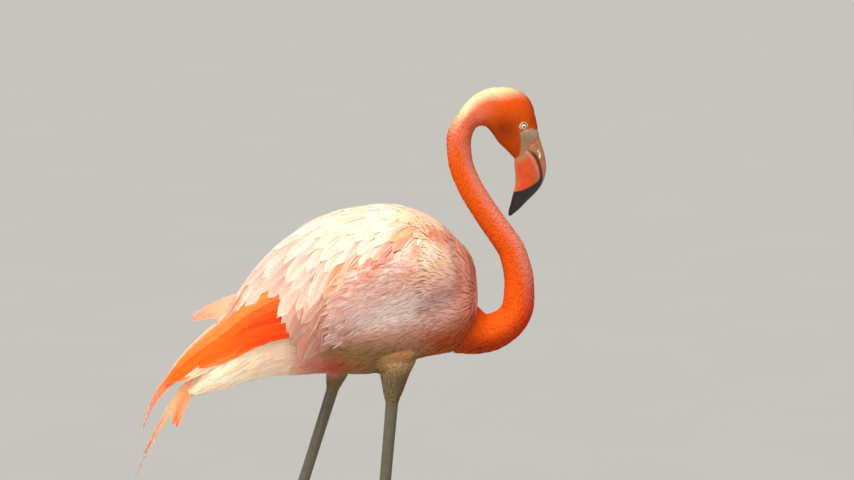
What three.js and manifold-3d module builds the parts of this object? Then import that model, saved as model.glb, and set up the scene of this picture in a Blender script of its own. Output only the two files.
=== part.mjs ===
// An American flamingo, life size, standing with its neck in an S and its bill turned down.
// Millimetres, +X the way the bird faces, +Y its left side, +Z up, soles on Z = 0.
// Flesh and plumage are lofted through a few sections, and pieces that meet keep a thin gap between them.
import * as THREE from 'three';
import { mergeVertices } from 'three/addons/utils/BufferGeometryUtils.js';
import Module from 'manifold-3d';

const wasm = await Module();
wasm.setup();

// ---------- driving sizes ----------

const GAP = 0.4; // between two pieces that meet
const LEG_SPREAD = 42; // each leg's distance from the middle plane
const DOWN_END_Z = 533; // where the thigh's feathers stop and the bare shank begins
const ANKLE_Z = 345;
const TOE_JOINT_Z = 19;
const EYE = { x: 214.7, y: 13.4, z: 914.4, radius: 5.6 };

// Each leg along X: where it leaves the body, where its feathers end, its ankle and its toe joint.
const LEGS = {
  right: { side: -1, hipX: 36, downEndX: 31, ankleX: 14.9, toeX: 31 },
  left: { side: 1, hipX: -38, downEndX: -54, ankleX: -113, toeX: -82 },
};

// Head, back to front: top x, top z, throat x, throat z, half width.
const HEAD_SECTIONS = [
  [149.4, 961.3, 162, 910.5, 18.6],
  [164.3, 967.2, 166.5, 906.6, 19.2],
  [179.2, 969.5, 172.5, 899.7, 19.8],
  [194, 968.8, 179, 892.8, 20.2],
  [207.9, 964.8, 185.5, 886.3, 20],
  [219.4, 955.9, 191.5, 880.6, 19.2],
  [226.7, 943.1, 196.5, 875.4, 18.2],
  [230.7, 927.8, 199.5, 872.3, 16.8],
  [233.9, 912.5, 201, 869.8, 15.4],
  [236.4, 899.5, 201.4, 867.1, 14.2],
];

// Bill, base to tip: culmen x, z, gape x, z, keel x, z, half width.
const BILL_SECTIONS = [
  [236.4, 899.5, 218.8, 883.4, 201.4, 867.1, 14.2],
  [241.5, 883, 227.8, 872.5, 201.7, 857.1, 15],
  [244.9, 869.1, 233.4, 862, 202.6, 847.7, 15.4],
  [246.1, 856.6, 236.4, 851.6, 203, 838.7, 15.4],
  [244.3, 844, 235.5, 841.2, 202.2, 829.8, 15],
  [240, 832.6, 231.1, 830.8, 200.5, 821.8, 13.8],
  [231.3, 821.2, 223.1, 822.3, 198.7, 815.4, 11.8],
  [220.2, 810, 213.2, 812.9, 196.6, 805.9, 9],
  [207.8, 797.2, 203.3, 800.9, 194.1, 796.9, 6],
  [196.5, 788, 195.8, 789.6, 193.4, 789.8, 2.6],
];

// Neck, head to breast: centre x, centre z, half depth. The first row only steers the curve inside the head.
const NECK_SECTIONS = [
  [151.5, 935.7, 22],
  [137.2, 925.6, 20.4],
  [130, 913.8, 18.2],
  [124.7, 900.1, 17.2],
  [124.2, 884.7, 17],
  [127.9, 858.7, 17],
  [140.5, 828.2, 17.3],
  [161.6, 793.9, 17.7],
  [186.9, 757.5, 18.4],
  [198.9, 738.3, 19],
  [207.1, 709.5, 20.2],
  [209.3, 688.3, 21],
  [207.4, 658.3, 22.2],
  [196.5, 638.3, 23.5],
  [176.2, 624.7, 25.8],
  [161.7, 621.7, 28.6],
  [146.9, 623, 33],
  [120.2, 633.4, 41],
  [90, 647.6, 47],
];
const NECK_WIDTH = 0.92; // the neck is a little narrower than it is deep
const NECK_CUTS = [1, 6, 10, 18]; // the rows where head, upper, middle and lower neck part

// Trunk and tail, breast to tail tip: back x, z, belly x, z, half width.
const TRUNK_SECTIONS = [
  [151.5, 680, 151.3, 665, 12],
  [149.5, 704, 148, 634, 35],
  [142.5, 729, 139, 614, 50],
  [129, 748, 121, 597, 60],
  [108, 766, 98, 592, 67],
  [80, 783, 72, 587, 72],
  [50, 793, 44, 577, 76],
  [18, 796, 16, 567, 78.5],
  [-16, 793, -14, 563, 79],
  [-50, 784, -44, 565, 76.5],
  [-83, 768, -76, 564, 71],
  [-113, 745, -108, 561.5, 63],
  [-140, 713, -138, 562, 54],
  [-164, 678, -164, 555, 46],
  [-186, 644, -190, 547.5, 40],
  [-207, 614, -212, 541, 34],
  [-230, 584, -231, 536, 27],
  [-247, 556, -246, 533, 17],
  [-255, 541, -253, 533.5, 6],
];
const TAIL_ROW = 13; // the section where the tail begins

// Folded wing, shoulder to tip: upper edge x, z, lower edge x, z, half width of the bird across both wings,
// the upper edge's distance from the middle plane, and the lower edge's angle from straight up, in degrees.
const WING_SECTIONS = [
  [122, 738, 130, 718, 36, 26, 90],
  [110, 766, 122, 704, 66, 22, 98],
  [84, 786, 98, 694, 80, 14, 103],
  [52, 800, 62, 680, 87, 8, 107],
  [18, 804.5, 24, 668, 91, 5, 110],
  [-16, 801, -12, 653, 92, 5, 112],
  [-50, 793.5, -44, 635, 90, 5, 113],
  [-80, 782, -74, 618, 86, 5, 114],
  [-108, 764, -104, 606, 80, 5, 113],
  [-136, 742, -134, 606, 72, 5, 112],
  [-163, 713, -164, 603, 63, 5, 110],
  [-186, 680, -192, 596, 54, 5, 108],
  [-206, 648, -216, 587, 45, 5, 104],
  [-230, 626, -238, 575, 36, 5, 99],
  [-254, 602, -258, 562.5, 28, 4.5, 94],
  [-275, 577, -277, 551, 21, 4, 90],
  [-290, 552, -289, 543, 15, 4, 88],
  [-298, 539, -297, 536.5, 12, 5, 86],
];
const WING_DEPTH = 17; // how far the wing reaches in towards the bird's middle before the trunk is cut from it
const WING_EDGE = 1.3; // its thickness along its free edges
const WING_TUCK = 7; // how far its lower edge draws in against the flank
const WING_FREE_ROW = 9; // from this section to the tip the wing thins into a blade

// Loose plumes: points along the shaft, half widths from root to tip, and half thickness.
const PLUMES = {
  longTertial: {
    path: [[-266, -13, 576], [-287, -9, 556], [-300, -10, 538], [-314, -10, 512], [-325, -10, 479]],
    width: [7, 4.5, 1.6, 1, 0.6],
    depth: 0.9,
  },
  loosePrimary: {
    path: [[-186, -40, 600], [-220, -35, 587], [-243, -31, 573], [-262, -29, 561]],
    width: [6, 6, 5, 1.8],
    depth: 1.4,
  },
  raisedTertial: {
    path: [[-176, 27, 668], [-206, 22, 655], [-232, 18, 646], [-253, 15, 637]],
    width: [8, 10, 11, 5],
    depth: 1.6,
  },
  drooping: {
    path: [[-222, -2, 560], [-248, -4, 549], [-266, -6, 524], [-277, -6, 490]],
    width: [6, 7, 8, 8.5],
    depth: 1.2,
  },
  streamer: {
    path: [[-226, -1, 566], [-262, -4, 541], [-286, -6, 507], [-302, -7, 480], [-316, -8, 452], [-333, -8, 410]],
    width: [6, 5, 3, 1.6, 1, 0.6],
    depth: 0.9,
  },
};

// Front toes, inner first: length, and angle away from straight ahead on the outer side.
const TOES = {
  inner: { length: 62, angle: -32 },
  middle: { length: 80, angle: 0 },
  outer: { length: 70, angle: 34 },
};
const TOE_HEIGHT = 9;
const TOE_HALF_WIDTH = 5.2;
const WEB_THICKNESS = 2.4;
const CLAW_LENGTH = 9;

const COLOURS = {
  coral: 0xf0541e,
  blush: 0xf2b8a2,
  salmon: 0xf28a5a,
  bill: 0xe8662e,
  upperBill: 0xc9a592,
  iris: 0xe6d9a8,
  shank: 0x93776f,
  claw: 0x3a2f2c,
};

// ---------- joining and cutting ----------

// A closed three.js geometry as a manifold solid, its shared corners merged.
function toSolid(geometry) {
  const bare = geometry.clone();
  bare.deleteAttribute('normal');
  bare.deleteAttribute('uv');
  const merged = mergeVertices(bare, 1e-4);
  return new wasm.Manifold(new wasm.Mesh({
    numProp: 3,
    vertProperties: new Float32Array(merged.attributes.position.array),
    triVerts: new Uint32Array(merged.index.array),
  }));
}

// Back to a geometry, without the crumbs that a cut can leave beside the main body.
function toGeometry(solid) {
  const [body, ...crumbs] = solid.decompose().sort((a, b) => b.volume() - a.volume());
  const loose = crumbs.find((crumb) => crumb.volume() > 60);
  if (loose) throw new Error(`a cut left a loose piece of ${loose.volume().toFixed(0)} mm3`);
  const mesh = body.getMesh();
  const geometry = new THREE.BufferGeometry();
  geometry.setAttribute('position', new THREE.BufferAttribute(new Float32Array(mesh.vertProperties), 3));
  return geometry.setIndex(new THREE.BufferAttribute(new Uint32Array(mesh.triVerts), 1));
}

function join(first, ...others) {
  return toGeometry(others.reduce((sum, other) => sum.add(toSolid(other)), toSolid(first)));
}

function cut(first, ...tools) {
  return toGeometry(tools.reduce((rest, tool) => rest.subtract(toSolid(tool)), toSolid(first)));
}

function common(first, second) {
  return toGeometry(toSolid(first).intersect(toSolid(second)));
}

// Turns the faces of a closed geometry outwards.
function facesOut(geometry) {
  if (toSolid(geometry).volume() > 0) return geometry;
  const index = geometry.index.array;
  for (let i = 0; i < index.length; i += 3) [index[i], index[i + 1]] = [index[i + 1], index[i]];
  return geometry;
}

function mirrored(geometry) {
  return facesOut(geometry.clone().scale(1, -1, 1));
}

// ---------- lofting ----------

// A closed form through rings of equal length, with a fan over each end.
function loft(rings) {
  const sides = rings[0].length;
  const points = rings.flat();
  const index = [];
  for (let i = 0; i < rings.length - 1; i++) {
    for (let j = 0; j < sides; j++) {
      const a = i * sides + j;
      const b = i * sides + ((j + 1) % sides);
      index.push(a, b, b + sides, a, b + sides, a + sides);
    }
  }
  const ends = [0, (rings.length - 1) * sides];
  ends.forEach((start, end) => {
    const centre = points.slice(start, start + sides).reduce((sum, p) => sum.add(p), new THREE.Vector3());
    const middle = points.push(centre.divideScalar(sides)) - 1;
    for (let j = 0; j < sides; j++) {
      const [a, b] = [start + j, start + ((j + 1) % sides)];
      index.push(middle, ...(end ? [a, b] : [b, a]));
    }
  });
  return facesOut(new THREE.BufferGeometry().setFromPoints(points).setIndex(index));
}

// A ring about a middle point: `arm` reaches from it to the ring's top, and `half` is its half width along Y.
// A `square` below 1 fills out its corners.
function ring(middle, arm, half, sides, square = 1) {
  const points = [];
  const fuller = (value) => Math.sign(value) * Math.abs(value) ** square;
  for (let j = 0; j < sides; j++) {
    const angle = (2 * Math.PI * j) / sides;
    const out = new THREE.Vector3(0, half * fuller(Math.sin(angle)), 0);
    points.push(middle.clone().addScaledVector(arm, fuller(Math.cos(angle))).add(out));
  }
  return points;
}

// A smooth curve through one triple picked from each row of a table.
function rail(rows, pick) {
  return new THREE.CatmullRomCurve3(rows.map((row) => new THREE.Vector3(...pick(row))), false, 'centripetal');
}

// Rings from row `from` to row `to` of a table, between an upper rail [x, half width, z] and a lower one [x, 0, z].
function ringsBetween([upper, lower], rows, [from, to], steps, sides, { grow = 0, square = 1 } = {}) {
  const rings = [];
  for (let i = 0; i <= steps; i++) {
    const t = THREE.MathUtils.lerp(from, to, i / steps) / (rows - 1);
    const top = upper.getPoint(t);
    const bottom = lower.getPoint(t).setY(0);
    const half = top.y;
    top.y = 0;
    const arm = top.clone().sub(bottom).multiplyScalar(0.5);
    arm.setLength(arm.length() + grow);
    rings.push(ring(top.lerp(bottom, 0.5), arm, half + grow, sides, square));
  }
  return rings;
}

// A feather or streamer: flat rings square to its shaft, wide seen from the side and thin along Y.
function plume({ path, width, depth }) {
  const shaft = rail(path, (point) => point);
  const steps = 2 * (path.length - 1);
  const rings = [];
  for (let i = 0; i <= steps; i++) {
    const t = i / steps;
    const k = Math.min(Math.floor(t * (width.length - 1)), width.length - 2);
    const half = THREE.MathUtils.lerp(width[k], width[k + 1], t * (width.length - 1) - k);
    const way = shaft.getTangent(t);
    const arm = new THREE.Vector3(-way.z, 0, way.x).setLength(half);
    rings.push(ring(shaft.getPoint(t), arm, Math.min(depth, half), 6));
  }
  return loft(rings);
}

const bird = new THREE.Group();

function add(name, geometry, colour, roughness = 0.8) {
  const material = new THREE.MeshStandardMaterial({ color: COLOURS[colour], roughness, metalness: 0 });
  const mesh = new THREE.Mesh(geometry, material);
  mesh.name = name;
  bird.add(mesh);
}

// ---------- trunk and tail ----------

const trunkRails = [
  rail(TRUNK_SECTIONS, ([x, z, , , half]) => [x, half, z]),
  rail(TRUNK_SECTIONS, ([, , x, z]) => [x, 0, z]),
];
const lastTrunkRow = TRUNK_SECTIONS.length - 1;

function bodyForm(from, to, steps, grow = 0) {
  const shape = { grow, square: 0.94 };
  return loft(ringsBetween(trunkRails, lastTrunkRow + 1, [from, to], steps, 22, shape));
}

const gapAtTail = GAP / (TRUNK_SECTIONS[TAIL_ROW][0] - TRUNK_SECTIONS[TAIL_ROW + 1][0]);
const tailForm = bodyForm(TAIL_ROW + gapAtTail, lastTrunkRow, lastTrunkRow - TAIL_ROW);
add('trunk', bodyForm(0, TAIL_ROW, TAIL_ROW), 'blush');
add('tail', join(tailForm, plume(PLUMES.drooping), plume(PLUMES.streamer)), 'salmon');

// The whole body, a gap larger all round: neck, wings and thighs are cut back from it.
const clearance = bodyForm(0, lastTrunkRow, lastTrunkRow, GAP);

// ---------- neck, in three lengths ----------

const neckRail = rail(NECK_SECTIONS, ([x, z, half]) => [x, half, z]);
const HEAD_SIDES = 18;

// A ring square to the neck's line, its top on the nape.
function neckRing(row) {
  const t = row / (NECK_SECTIONS.length - 1);
  const middle = neckRail.getPoint(t);
  const half = middle.y;
  const way = neckRail.getTangent(t).setY(0).normalize();
  const nape = new THREE.Vector3(way.z, 0, -way.x).setLength(half);
  return ring(middle.setY(0), nape, half * NECK_WIDTH, HEAD_SIDES);
}

['neck_upper', 'neck_middle', 'neck_lower'].forEach((name, i) => {
  const [from, to] = [NECK_CUTS[i], NECK_CUTS[i + 1]];
  const [a, b] = [NECK_SECTIONS[from], NECK_SECTIONS[from + 1]];
  const start = from + (1.2 * GAP) / Math.hypot(b[0] - a[0], b[1] - a[1]);
  const steps = Math.round(1.6 * (to - from));
  const rings = [];
  for (let k = 0; k <= steps; k++) rings.push(neckRing(THREE.MathUtils.lerp(start, to, k / steps)));
  const length = loft(rings);
  add(name, name === 'neck_lower' ? cut(length, clearance) : length, 'coral');
});

// ---------- head and eyes ----------

function eyeball(side, grow = 0) {
  return new THREE.SphereGeometry(EYE.radius + grow, 12, 8).translate(EYE.x, side * EYE.y, EYE.z);
}

const headRails = [
  rail(HEAD_SECTIONS, ([x, z, , , half]) => [x, half, z]),
  rail(HEAD_SECTIONS, ([, , x, z]) => [x, 0, z]),
];
const lastHeadRow = HEAD_SECTIONS.length - 1;
const headRings = ringsBetween(headRails, lastHeadRow + 1, [0, lastHeadRow], 12, HEAD_SIDES);
const headForm = loft([neckRing(NECK_CUTS[0]), ...headRings]);
add('head', cut(headForm, eyeball(-1, GAP), eyeball(1, GAP)), 'coral');

// ---------- bill, one form parted along the gape ----------

const billRails = [
  rail(BILL_SECTIONS, ([x, z, , , , , half]) => [x, half, z]),
  rail(BILL_SECTIONS, ([, , , , x, z]) => [x, 0, z]),
];
const lastBillRow = BILL_SECTIONS.length - 1;
const gapAtFace = 0.035; // rows, which makes a gap at both the culmen's base and the keel's
const billRings = ringsBetween(billRails, lastBillRow + 1, [gapAtFace, lastBillRow], 14, 14, { square: 0.9 });
const billForm = loft(billRings);

// Everything on the culmen's side of the gape, moved towards the culmen by `shift`.
function aboveGape(shift) {
  const line = BILL_SECTIONS.map(([cx, cz, gx, gz]) => {
    const way = new THREE.Vector2(cx - gx, cz - gz).normalize();
    return { point: new THREE.Vector2(gx, gz).addScaledVector(way, shift), way };
  });
  const before = line[0].point.clone().multiplyScalar(2).sub(line[1].point);
  const beyondTip = line[lastBillRow].point.clone().add(new THREE.Vector2(-8, -6));
  const far = line.map(({ point, way }) => point.clone().addScaledVector(way, 40)).reverse();
  const outline = [before, ...line.map(({ point }) => point), beyondTip, ...far];
  const slab = new THREE.ExtrudeGeometry(new THREE.Shape(outline), { depth: 60, bevelEnabled: false });
  return slab.translate(0, 0, -30).rotateX(Math.PI / 2);
}

add('bill_upper', common(billForm, aboveGape(GAP / 2)), 'upperBill', 0.45);
add('bill_lower', cut(billForm, aboveGape(-GAP / 2)), 'bill', 0.45);

// ---------- folded wings ----------

const wingUpper = rail(WING_SECTIONS, ([x, z, , , half]) => [x, half, z]);
const wingLower = rail(WING_SECTIONS, ([, , x, z]) => [x, 0, z]);
const wingReach = rail(WING_SECTIONS, ([, , , , , parting, angle]) => [parting, angle, 0]);
const lastWingRow = WING_SECTIONS.length - 1;

// One section of the right wing: over its outer face from upper to lower edge, and back along its inner face.
function wingRing(row) {
  const across = 8;
  const t = row / lastWingRow;
  const top = wingUpper.getPoint(t);
  const bottom = wingLower.getPoint(t);
  const reach = wingReach.getPoint(t);
  const half = top.y;
  const first = Math.asin(reach.x / half);
  const last = THREE.MathUtils.degToRad(reach.y);
  const free = THREE.MathUtils.smoothstep(row, WING_FREE_ROW, lastWingRow);
  const deepest = THREE.MathUtils.lerp(WING_DEPTH, WING_EDGE, free);
  const atEdge = THREE.MathUtils.lerp(WING_DEPTH, WING_EDGE, Math.sqrt(free));
  const down = (angle) => (Math.cos(first) - Math.cos(angle)) / (Math.cos(first) - Math.cos(last));
  const axis = top.clone().lerp(bottom, down(Math.PI / 2)).setY(0);
  const outer = [];
  const inner = [];
  for (let j = 0; j <= across; j++) {
    const angle = THREE.MathUtils.lerp(first, last, j / across);
    const tuck = WING_TUCK * (1 - free) * THREE.MathUtils.smoothstep(j / across, 0.6, 1);
    const y = (half - tuck) * Math.sin(angle);
    const point = top.clone().lerp(bottom, down(angle)).setY(-y);
    const depth = j === 0 || j === across ? atEdge : deepest;
    outer.push(point);
    if (j % 2 === 0) inner.unshift(axis.clone().sub(point).setLength(depth).add(point));
  }
  return [...outer, ...inner];
}

const wingForm = loft(WING_SECTIONS.map((_, row) => wingRing(row)));
const rightPlumes = [PLUMES.longTertial, PLUMES.loosePrimary].map(plume);
add('wing_right', cut(join(wingForm, ...rightPlumes), clearance), 'blush');
add('wing_left', cut(join(mirrored(wingForm), plume(PLUMES.raisedTertial)), clearance), 'blush');

// ---------- legs ----------

// Level elliptical rings through rows of x, y, z, half size along X, half size along Y.
function upright(rows, steps, sides) {
  const middles = rail(rows, ([x, y, z]) => [x, y, z]);
  const sizes = rail(rows, ([, , , alongX, alongY]) => [alongX, alongY, 0]);
  const rings = [];
  for (let i = 0; i <= steps; i++) {
    const size = sizes.getPoint(i / steps);
    rings.push(ring(middles.getPoint(i / steps), new THREE.Vector3(size.x, 0, 0), size.y, sides));
  }
  return loft(rings);
}

// Rows of share of the way up, half size along X, half size along Y and how far in towards the middle plane,
// laid along a bone from bottom to top.
function bone([bottomX, bottomZ], [topX, topZ], y, rows) {
  const { lerp } = THREE.MathUtils;
  return rows.map(([share, alongX, alongY, inward = 0]) => {
    const inY = y - Math.sign(y) * inward;
    return [lerp(bottomX, topX, share), inY, lerp(bottomZ, topZ, share), alongX, alongY];
  });
}

// The thigh is widest where it meets the flank and draws in under it above that.
function thigh({ side, hipX, downEndX }) {
  const rows = bone([downEndX, DOWN_END_Z], [hipX, 586], side * LEG_SPREAD, [
    [0, 9.8, 9.2],
    [0.22, 13.4, 12],
    [0.44, 16.6, 14.6],
    [0.66, 19.8, 17.4],
    [0.9, 24.5, 20.5, 1],
    [1.3, 33, 22, 7],
    [1.7, 36, 18, 16],
    [2.1, 32, 12, 23],
  ]);
  return upright(rows, 10, 16);
}

function shank({ side, downEndX, ankleX }) {
  return upright(bone([ankleX, ANKLE_Z], [downEndX, DOWN_END_Z - GAP], side * LEG_SPREAD, [
    [0, 11, 9.6],
    [0.06, 10.4, 9.2],
    [0.14, 8.6, 7.6],
    [0.5, 8.3, 6.8],
    [0.8, 8.6, 7],
    [1, 9, 7.6],
  ]), 9, 12);
}

function tarsus({ side, ankleX, toeX }) {
  return upright(bone([toeX, TOE_JOINT_Z + GAP], [ankleX, ANKLE_Z - GAP], side * LEG_SPREAD, [
    [0, 8.8, 7.8],
    [0.05, 7.4, 6.6],
    [0.15, 6.2, 5.2],
    [0.5, 6, 5],
    [0.85, 7, 5.8],
    [0.94, 10, 8.8],
    [1, 11, 9.6],
  ]), 12, 12);
}

// A toe, claw or hind toe along +X: flat underneath and round on top, its rows half width and height.
function toeForm(start, end, sizes, lift, drop = 0) {
  const last = sizes.length - 1;
  return loft(sizes.map(([half, height], i) => {
    const x = THREE.MathUtils.lerp(start, end, i / last);
    const points = [];
    for (let j = 0; j < 8; j++) {
      const angle = (2 * Math.PI * j) / 8;
      const up = Math.max(0, 0.62 * Math.cos(angle) + 0.38);
      points.push(new THREE.Vector3(x, half * Math.sin(angle), lift + (drop * i) / last + height * up));
    }
    return points;
  }));
}

// The web between two toes, a thin plate with its front edge scooped back.
function web(first, second, side) {
  const reach = ({ length, angle }) => {
    const turn = THREE.MathUtils.degToRad(angle * side);
    return new THREE.Vector2(Math.cos(turn), Math.sin(turn)).multiplyScalar(0.9 * length);
  };
  const [from, to] = [reach(first), reach(second)];
  const scoop = from.clone().add(to).multiplyScalar(0.36);
  const shape = new THREE.Shape();
  shape.moveTo(0, 0);
  shape.lineTo(from.x, from.y);
  shape.quadraticCurveTo(scoop.x, scoop.y, to.x, to.y);
  const plate = { depth: WEB_THICKNESS, bevelEnabled: false, curveSegments: 5 };
  return new THREE.ExtrudeGeometry(shape, plate);
}

function foot({ side, toeX }) {
  const pad = upright([
    [0, 0, 0, 9.4, 8.8],
    [0, 0, 6, 10.4, 9.6],
    [0, 0, 13, 9.6, 8.6],
    [0, 0, TOE_JOINT_Z, 8.8, 7.8],
  ], 3, 12);
  const frontToes = Object.values(TOES).map(({ length, angle }) => {
    const sizes = [1, 0.84, 0.98, 0.76, 0.84, 0.56];
    const rows = sizes.map((size) => [TOE_HALF_WIDTH * size, TOE_HEIGHT * size ** 1.2]);
    return toeForm(-2, length, rows, 0).rotateZ(THREE.MathUtils.degToRad(angle * side));
  });
  const hindToe = toeForm(4, 22, [[3, 6], [3.2, 5.5], [1.8, 3]], 12, -5);
  hindToe.rotateZ(THREE.MathUtils.degToRad(180 - 18 * side));
  const webs = [web(TOES.inner, TOES.middle, side), web(TOES.middle, TOES.outer, side)];
  return join(pad, ...frontToes, ...webs, hindToe).translate(toeX, side * LEG_SPREAD, 0);
}

function claw({ side, toeX }, { length, angle }) {
  const rows = [[3, 4.6], [2.6, 3.9], [0.9, 1.3]];
  const form = toeForm(length + GAP, length + CLAW_LENGTH, rows, 0.2);
  return form.rotateZ(THREE.MathUtils.degToRad(angle * side)).translate(toeX, side * LEG_SPREAD, 0);
}

for (const [name, leg] of Object.entries(LEGS)) {
  add(`eye_${name}`, eyeball(leg.side), 'iris', 0.1);
  add(`thigh_${name}`, cut(thigh(leg), clearance), 'blush');
  add(`shank_${name}`, shank(leg), 'shank', 0.6);
  add(`tarsus_${name}`, tarsus(leg), 'shank', 0.6);
  add(`foot_${name}`, foot(leg), 'shank', 0.6);
  for (const [toe, sizes] of Object.entries(TOES)) add(`claw_${toe}_${name}`, claw(leg, sizes), 'claw', 0.4);
}

// The origin is on the floor under the middle of the bird's box.
const box = new THREE.Box3().setFromObject(bird);
bird.position.set(-(box.min.x + box.max.x) / 2, -(box.min.y + box.max.y) / 2, -box.min.z);

export default bird;
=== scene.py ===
import math

import bpy
import numpy as np
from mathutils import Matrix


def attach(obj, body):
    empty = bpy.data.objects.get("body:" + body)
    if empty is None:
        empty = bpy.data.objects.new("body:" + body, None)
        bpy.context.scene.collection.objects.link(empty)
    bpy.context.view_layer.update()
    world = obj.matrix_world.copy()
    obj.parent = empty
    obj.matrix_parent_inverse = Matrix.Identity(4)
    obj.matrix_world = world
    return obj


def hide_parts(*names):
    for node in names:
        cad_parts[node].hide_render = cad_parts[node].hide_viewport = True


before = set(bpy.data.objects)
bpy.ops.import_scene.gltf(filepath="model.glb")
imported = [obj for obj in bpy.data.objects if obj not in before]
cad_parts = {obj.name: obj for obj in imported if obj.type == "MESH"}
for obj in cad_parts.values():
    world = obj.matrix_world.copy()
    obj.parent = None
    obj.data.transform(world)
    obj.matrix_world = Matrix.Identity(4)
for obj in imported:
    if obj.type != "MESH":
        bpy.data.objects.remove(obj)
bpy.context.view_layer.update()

# ---- The stand-point, the floor and the lamps ----
# A pale studio floor under the bird, one broad soft lamp overhead as the midday sky, a weak one
# from the front and a small one from low behind, which lights the tail's underside; the camera
# stands four and a half metres off at the bird's right side.

CAMERA_DISTANCE = 4.5
CAMERA_AIM = (0.1236, 0.0, 0.754)
CAMERA_PITCH = math.radians(10)
LENS = 135.5


def placed(name, data):
    """An object with this data, put into the scene."""
    thing = bpy.data.objects.new(name, data)
    bpy.context.scene.collection.objects.link(thing)
    return thing


camera = placed("camera", bpy.data.cameras.new("camera"))
camera.data.sensor_width = 36
camera.data.lens = LENS
camera.data.clip_end = 200
camera.location = (
    CAMERA_AIM[0],
    CAMERA_AIM[1] - CAMERA_DISTANCE * math.cos(CAMERA_PITCH),
    CAMERA_AIM[2] + CAMERA_DISTANCE * math.sin(CAMERA_PITCH),
)
camera.rotation_euler = (math.pi / 2 - CAMERA_PITCH, 0, 0)
bpy.context.scene.camera = camera
bpy.context.scene.view_settings.view_transform = "Standard"


def area_lamp(name, place, aim, size, watts, tint, spread=180):
    """A square lamp at a place, turned to face its aim, with its beam's full angle in degrees."""
    lamp = placed(name, bpy.data.lights.new(name, "AREA"))
    lamp.data.size = size
    lamp.data.energy = watts
    lamp.data.color = tint
    lamp.data.spread = math.radians(spread)
    x, y, z = (a - b for a, b in zip(aim, place))
    lamp.location = place
    lamp.rotation_euler = (math.atan2(math.hypot(x, y), -z), 0, math.atan2(y, x) - math.pi / 2)


area_lamp("front_lamp", (0.6, -3.4, 1.9), (0.1, 0, 0.7), 1.8, 7, (1, 0.97, 0.93))
area_lamp("low_lamp", (-0.72, -0.9, 0.2), (-0.22, 0, 0.57), 0.3, 0.22, (1, 0.95, 0.88), 24)

overhead_lamp = placed("overhead_lamp", bpy.data.lights.new("overhead_lamp", "SUN"))
overhead_lamp.data.energy = 3.35
overhead_lamp.data.angle = math.radians(28)
overhead_lamp.data.color = (1, 0.975, 0.91)
overhead_lamp.rotation_euler = (math.radians(29), math.radians(-17), 0)

sky = bpy.data.worlds.new("sky")
sky.use_nodes = True
sky.node_tree.nodes["Background"].inputs["Color"].default_value = (1, 0.985, 0.95, 1)
sky.node_tree.nodes["Background"].inputs["Strength"].default_value = 0.40
bpy.context.scene.world = sky


def mesh_piece(name, points, faces, material=None):
    """A smooth-shaded object from an array of points and a list of arrays of faces."""
    mesh = bpy.data.meshes.new(name)
    corners = np.concatenate([group.ravel() for group in faces]).astype(np.int32)
    sizes = np.concatenate([np.full(len(group), group.shape[1]) for group in faces])
    mesh.vertices.add(len(points))
    mesh.vertices.foreach_set("co", np.asarray(points, np.float32).ravel())
    mesh.loops.add(len(corners))
    mesh.loops.foreach_set("vertex_index", corners)
    mesh.polygons.add(len(sizes))
    mesh.polygons.foreach_set("loop_start", (np.cumsum(sizes) - sizes).astype(np.int32))
    mesh.polygons.foreach_set("use_smooth", np.ones(len(sizes), bool))
    mesh.update(calc_edges=True)
    if material:
        mesh.materials.append(material)
    return placed(name, mesh)


def node_material(name):
    """A material with three makers: node gives an output of a new node, or all of them, surface
    fills the shader, and sums works on two values. A setting may be a value or a node's output."""
    material = bpy.data.materials.new(name)
    material.use_nodes = True
    tree = material.node_tree

    def put(value, socket):
        if isinstance(value, bpy.types.NodeSocket):
            tree.links.new(value, socket)
        else:
            socket.default_value = value

    def fill(made, values):
        for key, value in values.items():
            if hasattr(made, key) and not isinstance(value, bpy.types.NodeSocket):
                setattr(made, key, value)
            else:
                put(value, made.inputs[key.replace("_", " ").title().replace("Ior", "IOR")])

    def node(kind, output=None, **values):
        made = tree.nodes.new("ShaderNode" + kind)
        fill(made, values)
        return made.outputs[output] if output else made.outputs

    def surface(**values):
        fill(tree.nodes["Principled BSDF"], values)

    def sums(operation, first, second):
        made = tree.nodes.new("ShaderNodeMath")
        made.operation = operation
        put(first, made.inputs[0])
        put(second, made.inputs[1])
        return made.outputs["Value"]

    return material, node, surface, sums


def toned(node, value, low, high, low_place=0.0, high_place=1.0):
    """A colour that goes from low to high as the value goes from one place to the other."""
    tones = node("ValToRGB", fac=value)["Color"]
    for stop, colour, at in zip(tones.node.color_ramp.elements, (low, high), (low_place, high_place)):
        stop.color = (*colour, 1)
        stop.position = at
    return tones


floor_paint, node, surface, _ = node_material("floor_paint")
mottle = node("TexNoise", "Fac", vector=node("TexCoord", "Object"), scale=3.0)
surface(base_color=toned(node, mottle, (0.42, 0.42, 0.41), (0.44, 0.44, 0.43)), roughness=0.9)
FLOOR_HALF = 60
floor_corners = np.array([[-1, -1, 0], [1, -1, 0], [1, 1, 0], [-1, 1, 0]]) * FLOOR_HALF
floor = mesh_piece("floor", floor_corners, [np.array([[0, 1, 2, 3]])], floor_paint)

# ---- The skin ----
# One hide covers the whole bird, from the base of the bill to the soles. Under the plumage it is
# thin and pink; it is bare and pale between bill and eye, and scaled and grey on legs and feet.
# It is made as closed forms (head with neck, body, back, thighs, legs) grown into one.

MM = 0.001
CENTRE_X = 43.8  # how far forward the model's tables lie from the middle of its box


def in_frame(x, y, z):
    """Millimetres of the tables to metres of the model."""
    return np.stack([x + CENTRE_X, y, z], -1) * MM


def in_tables(points):
    """The tables' x and z of places on the model, in millimetres."""
    return points[..., 0] / MM - CENTRE_X, points[..., 2] / MM


def unit(vectors):
    """The same directions, one long."""
    return vectors / np.maximum(np.linalg.norm(vectors, axis=-1, keepdims=True), 1e-12)


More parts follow.
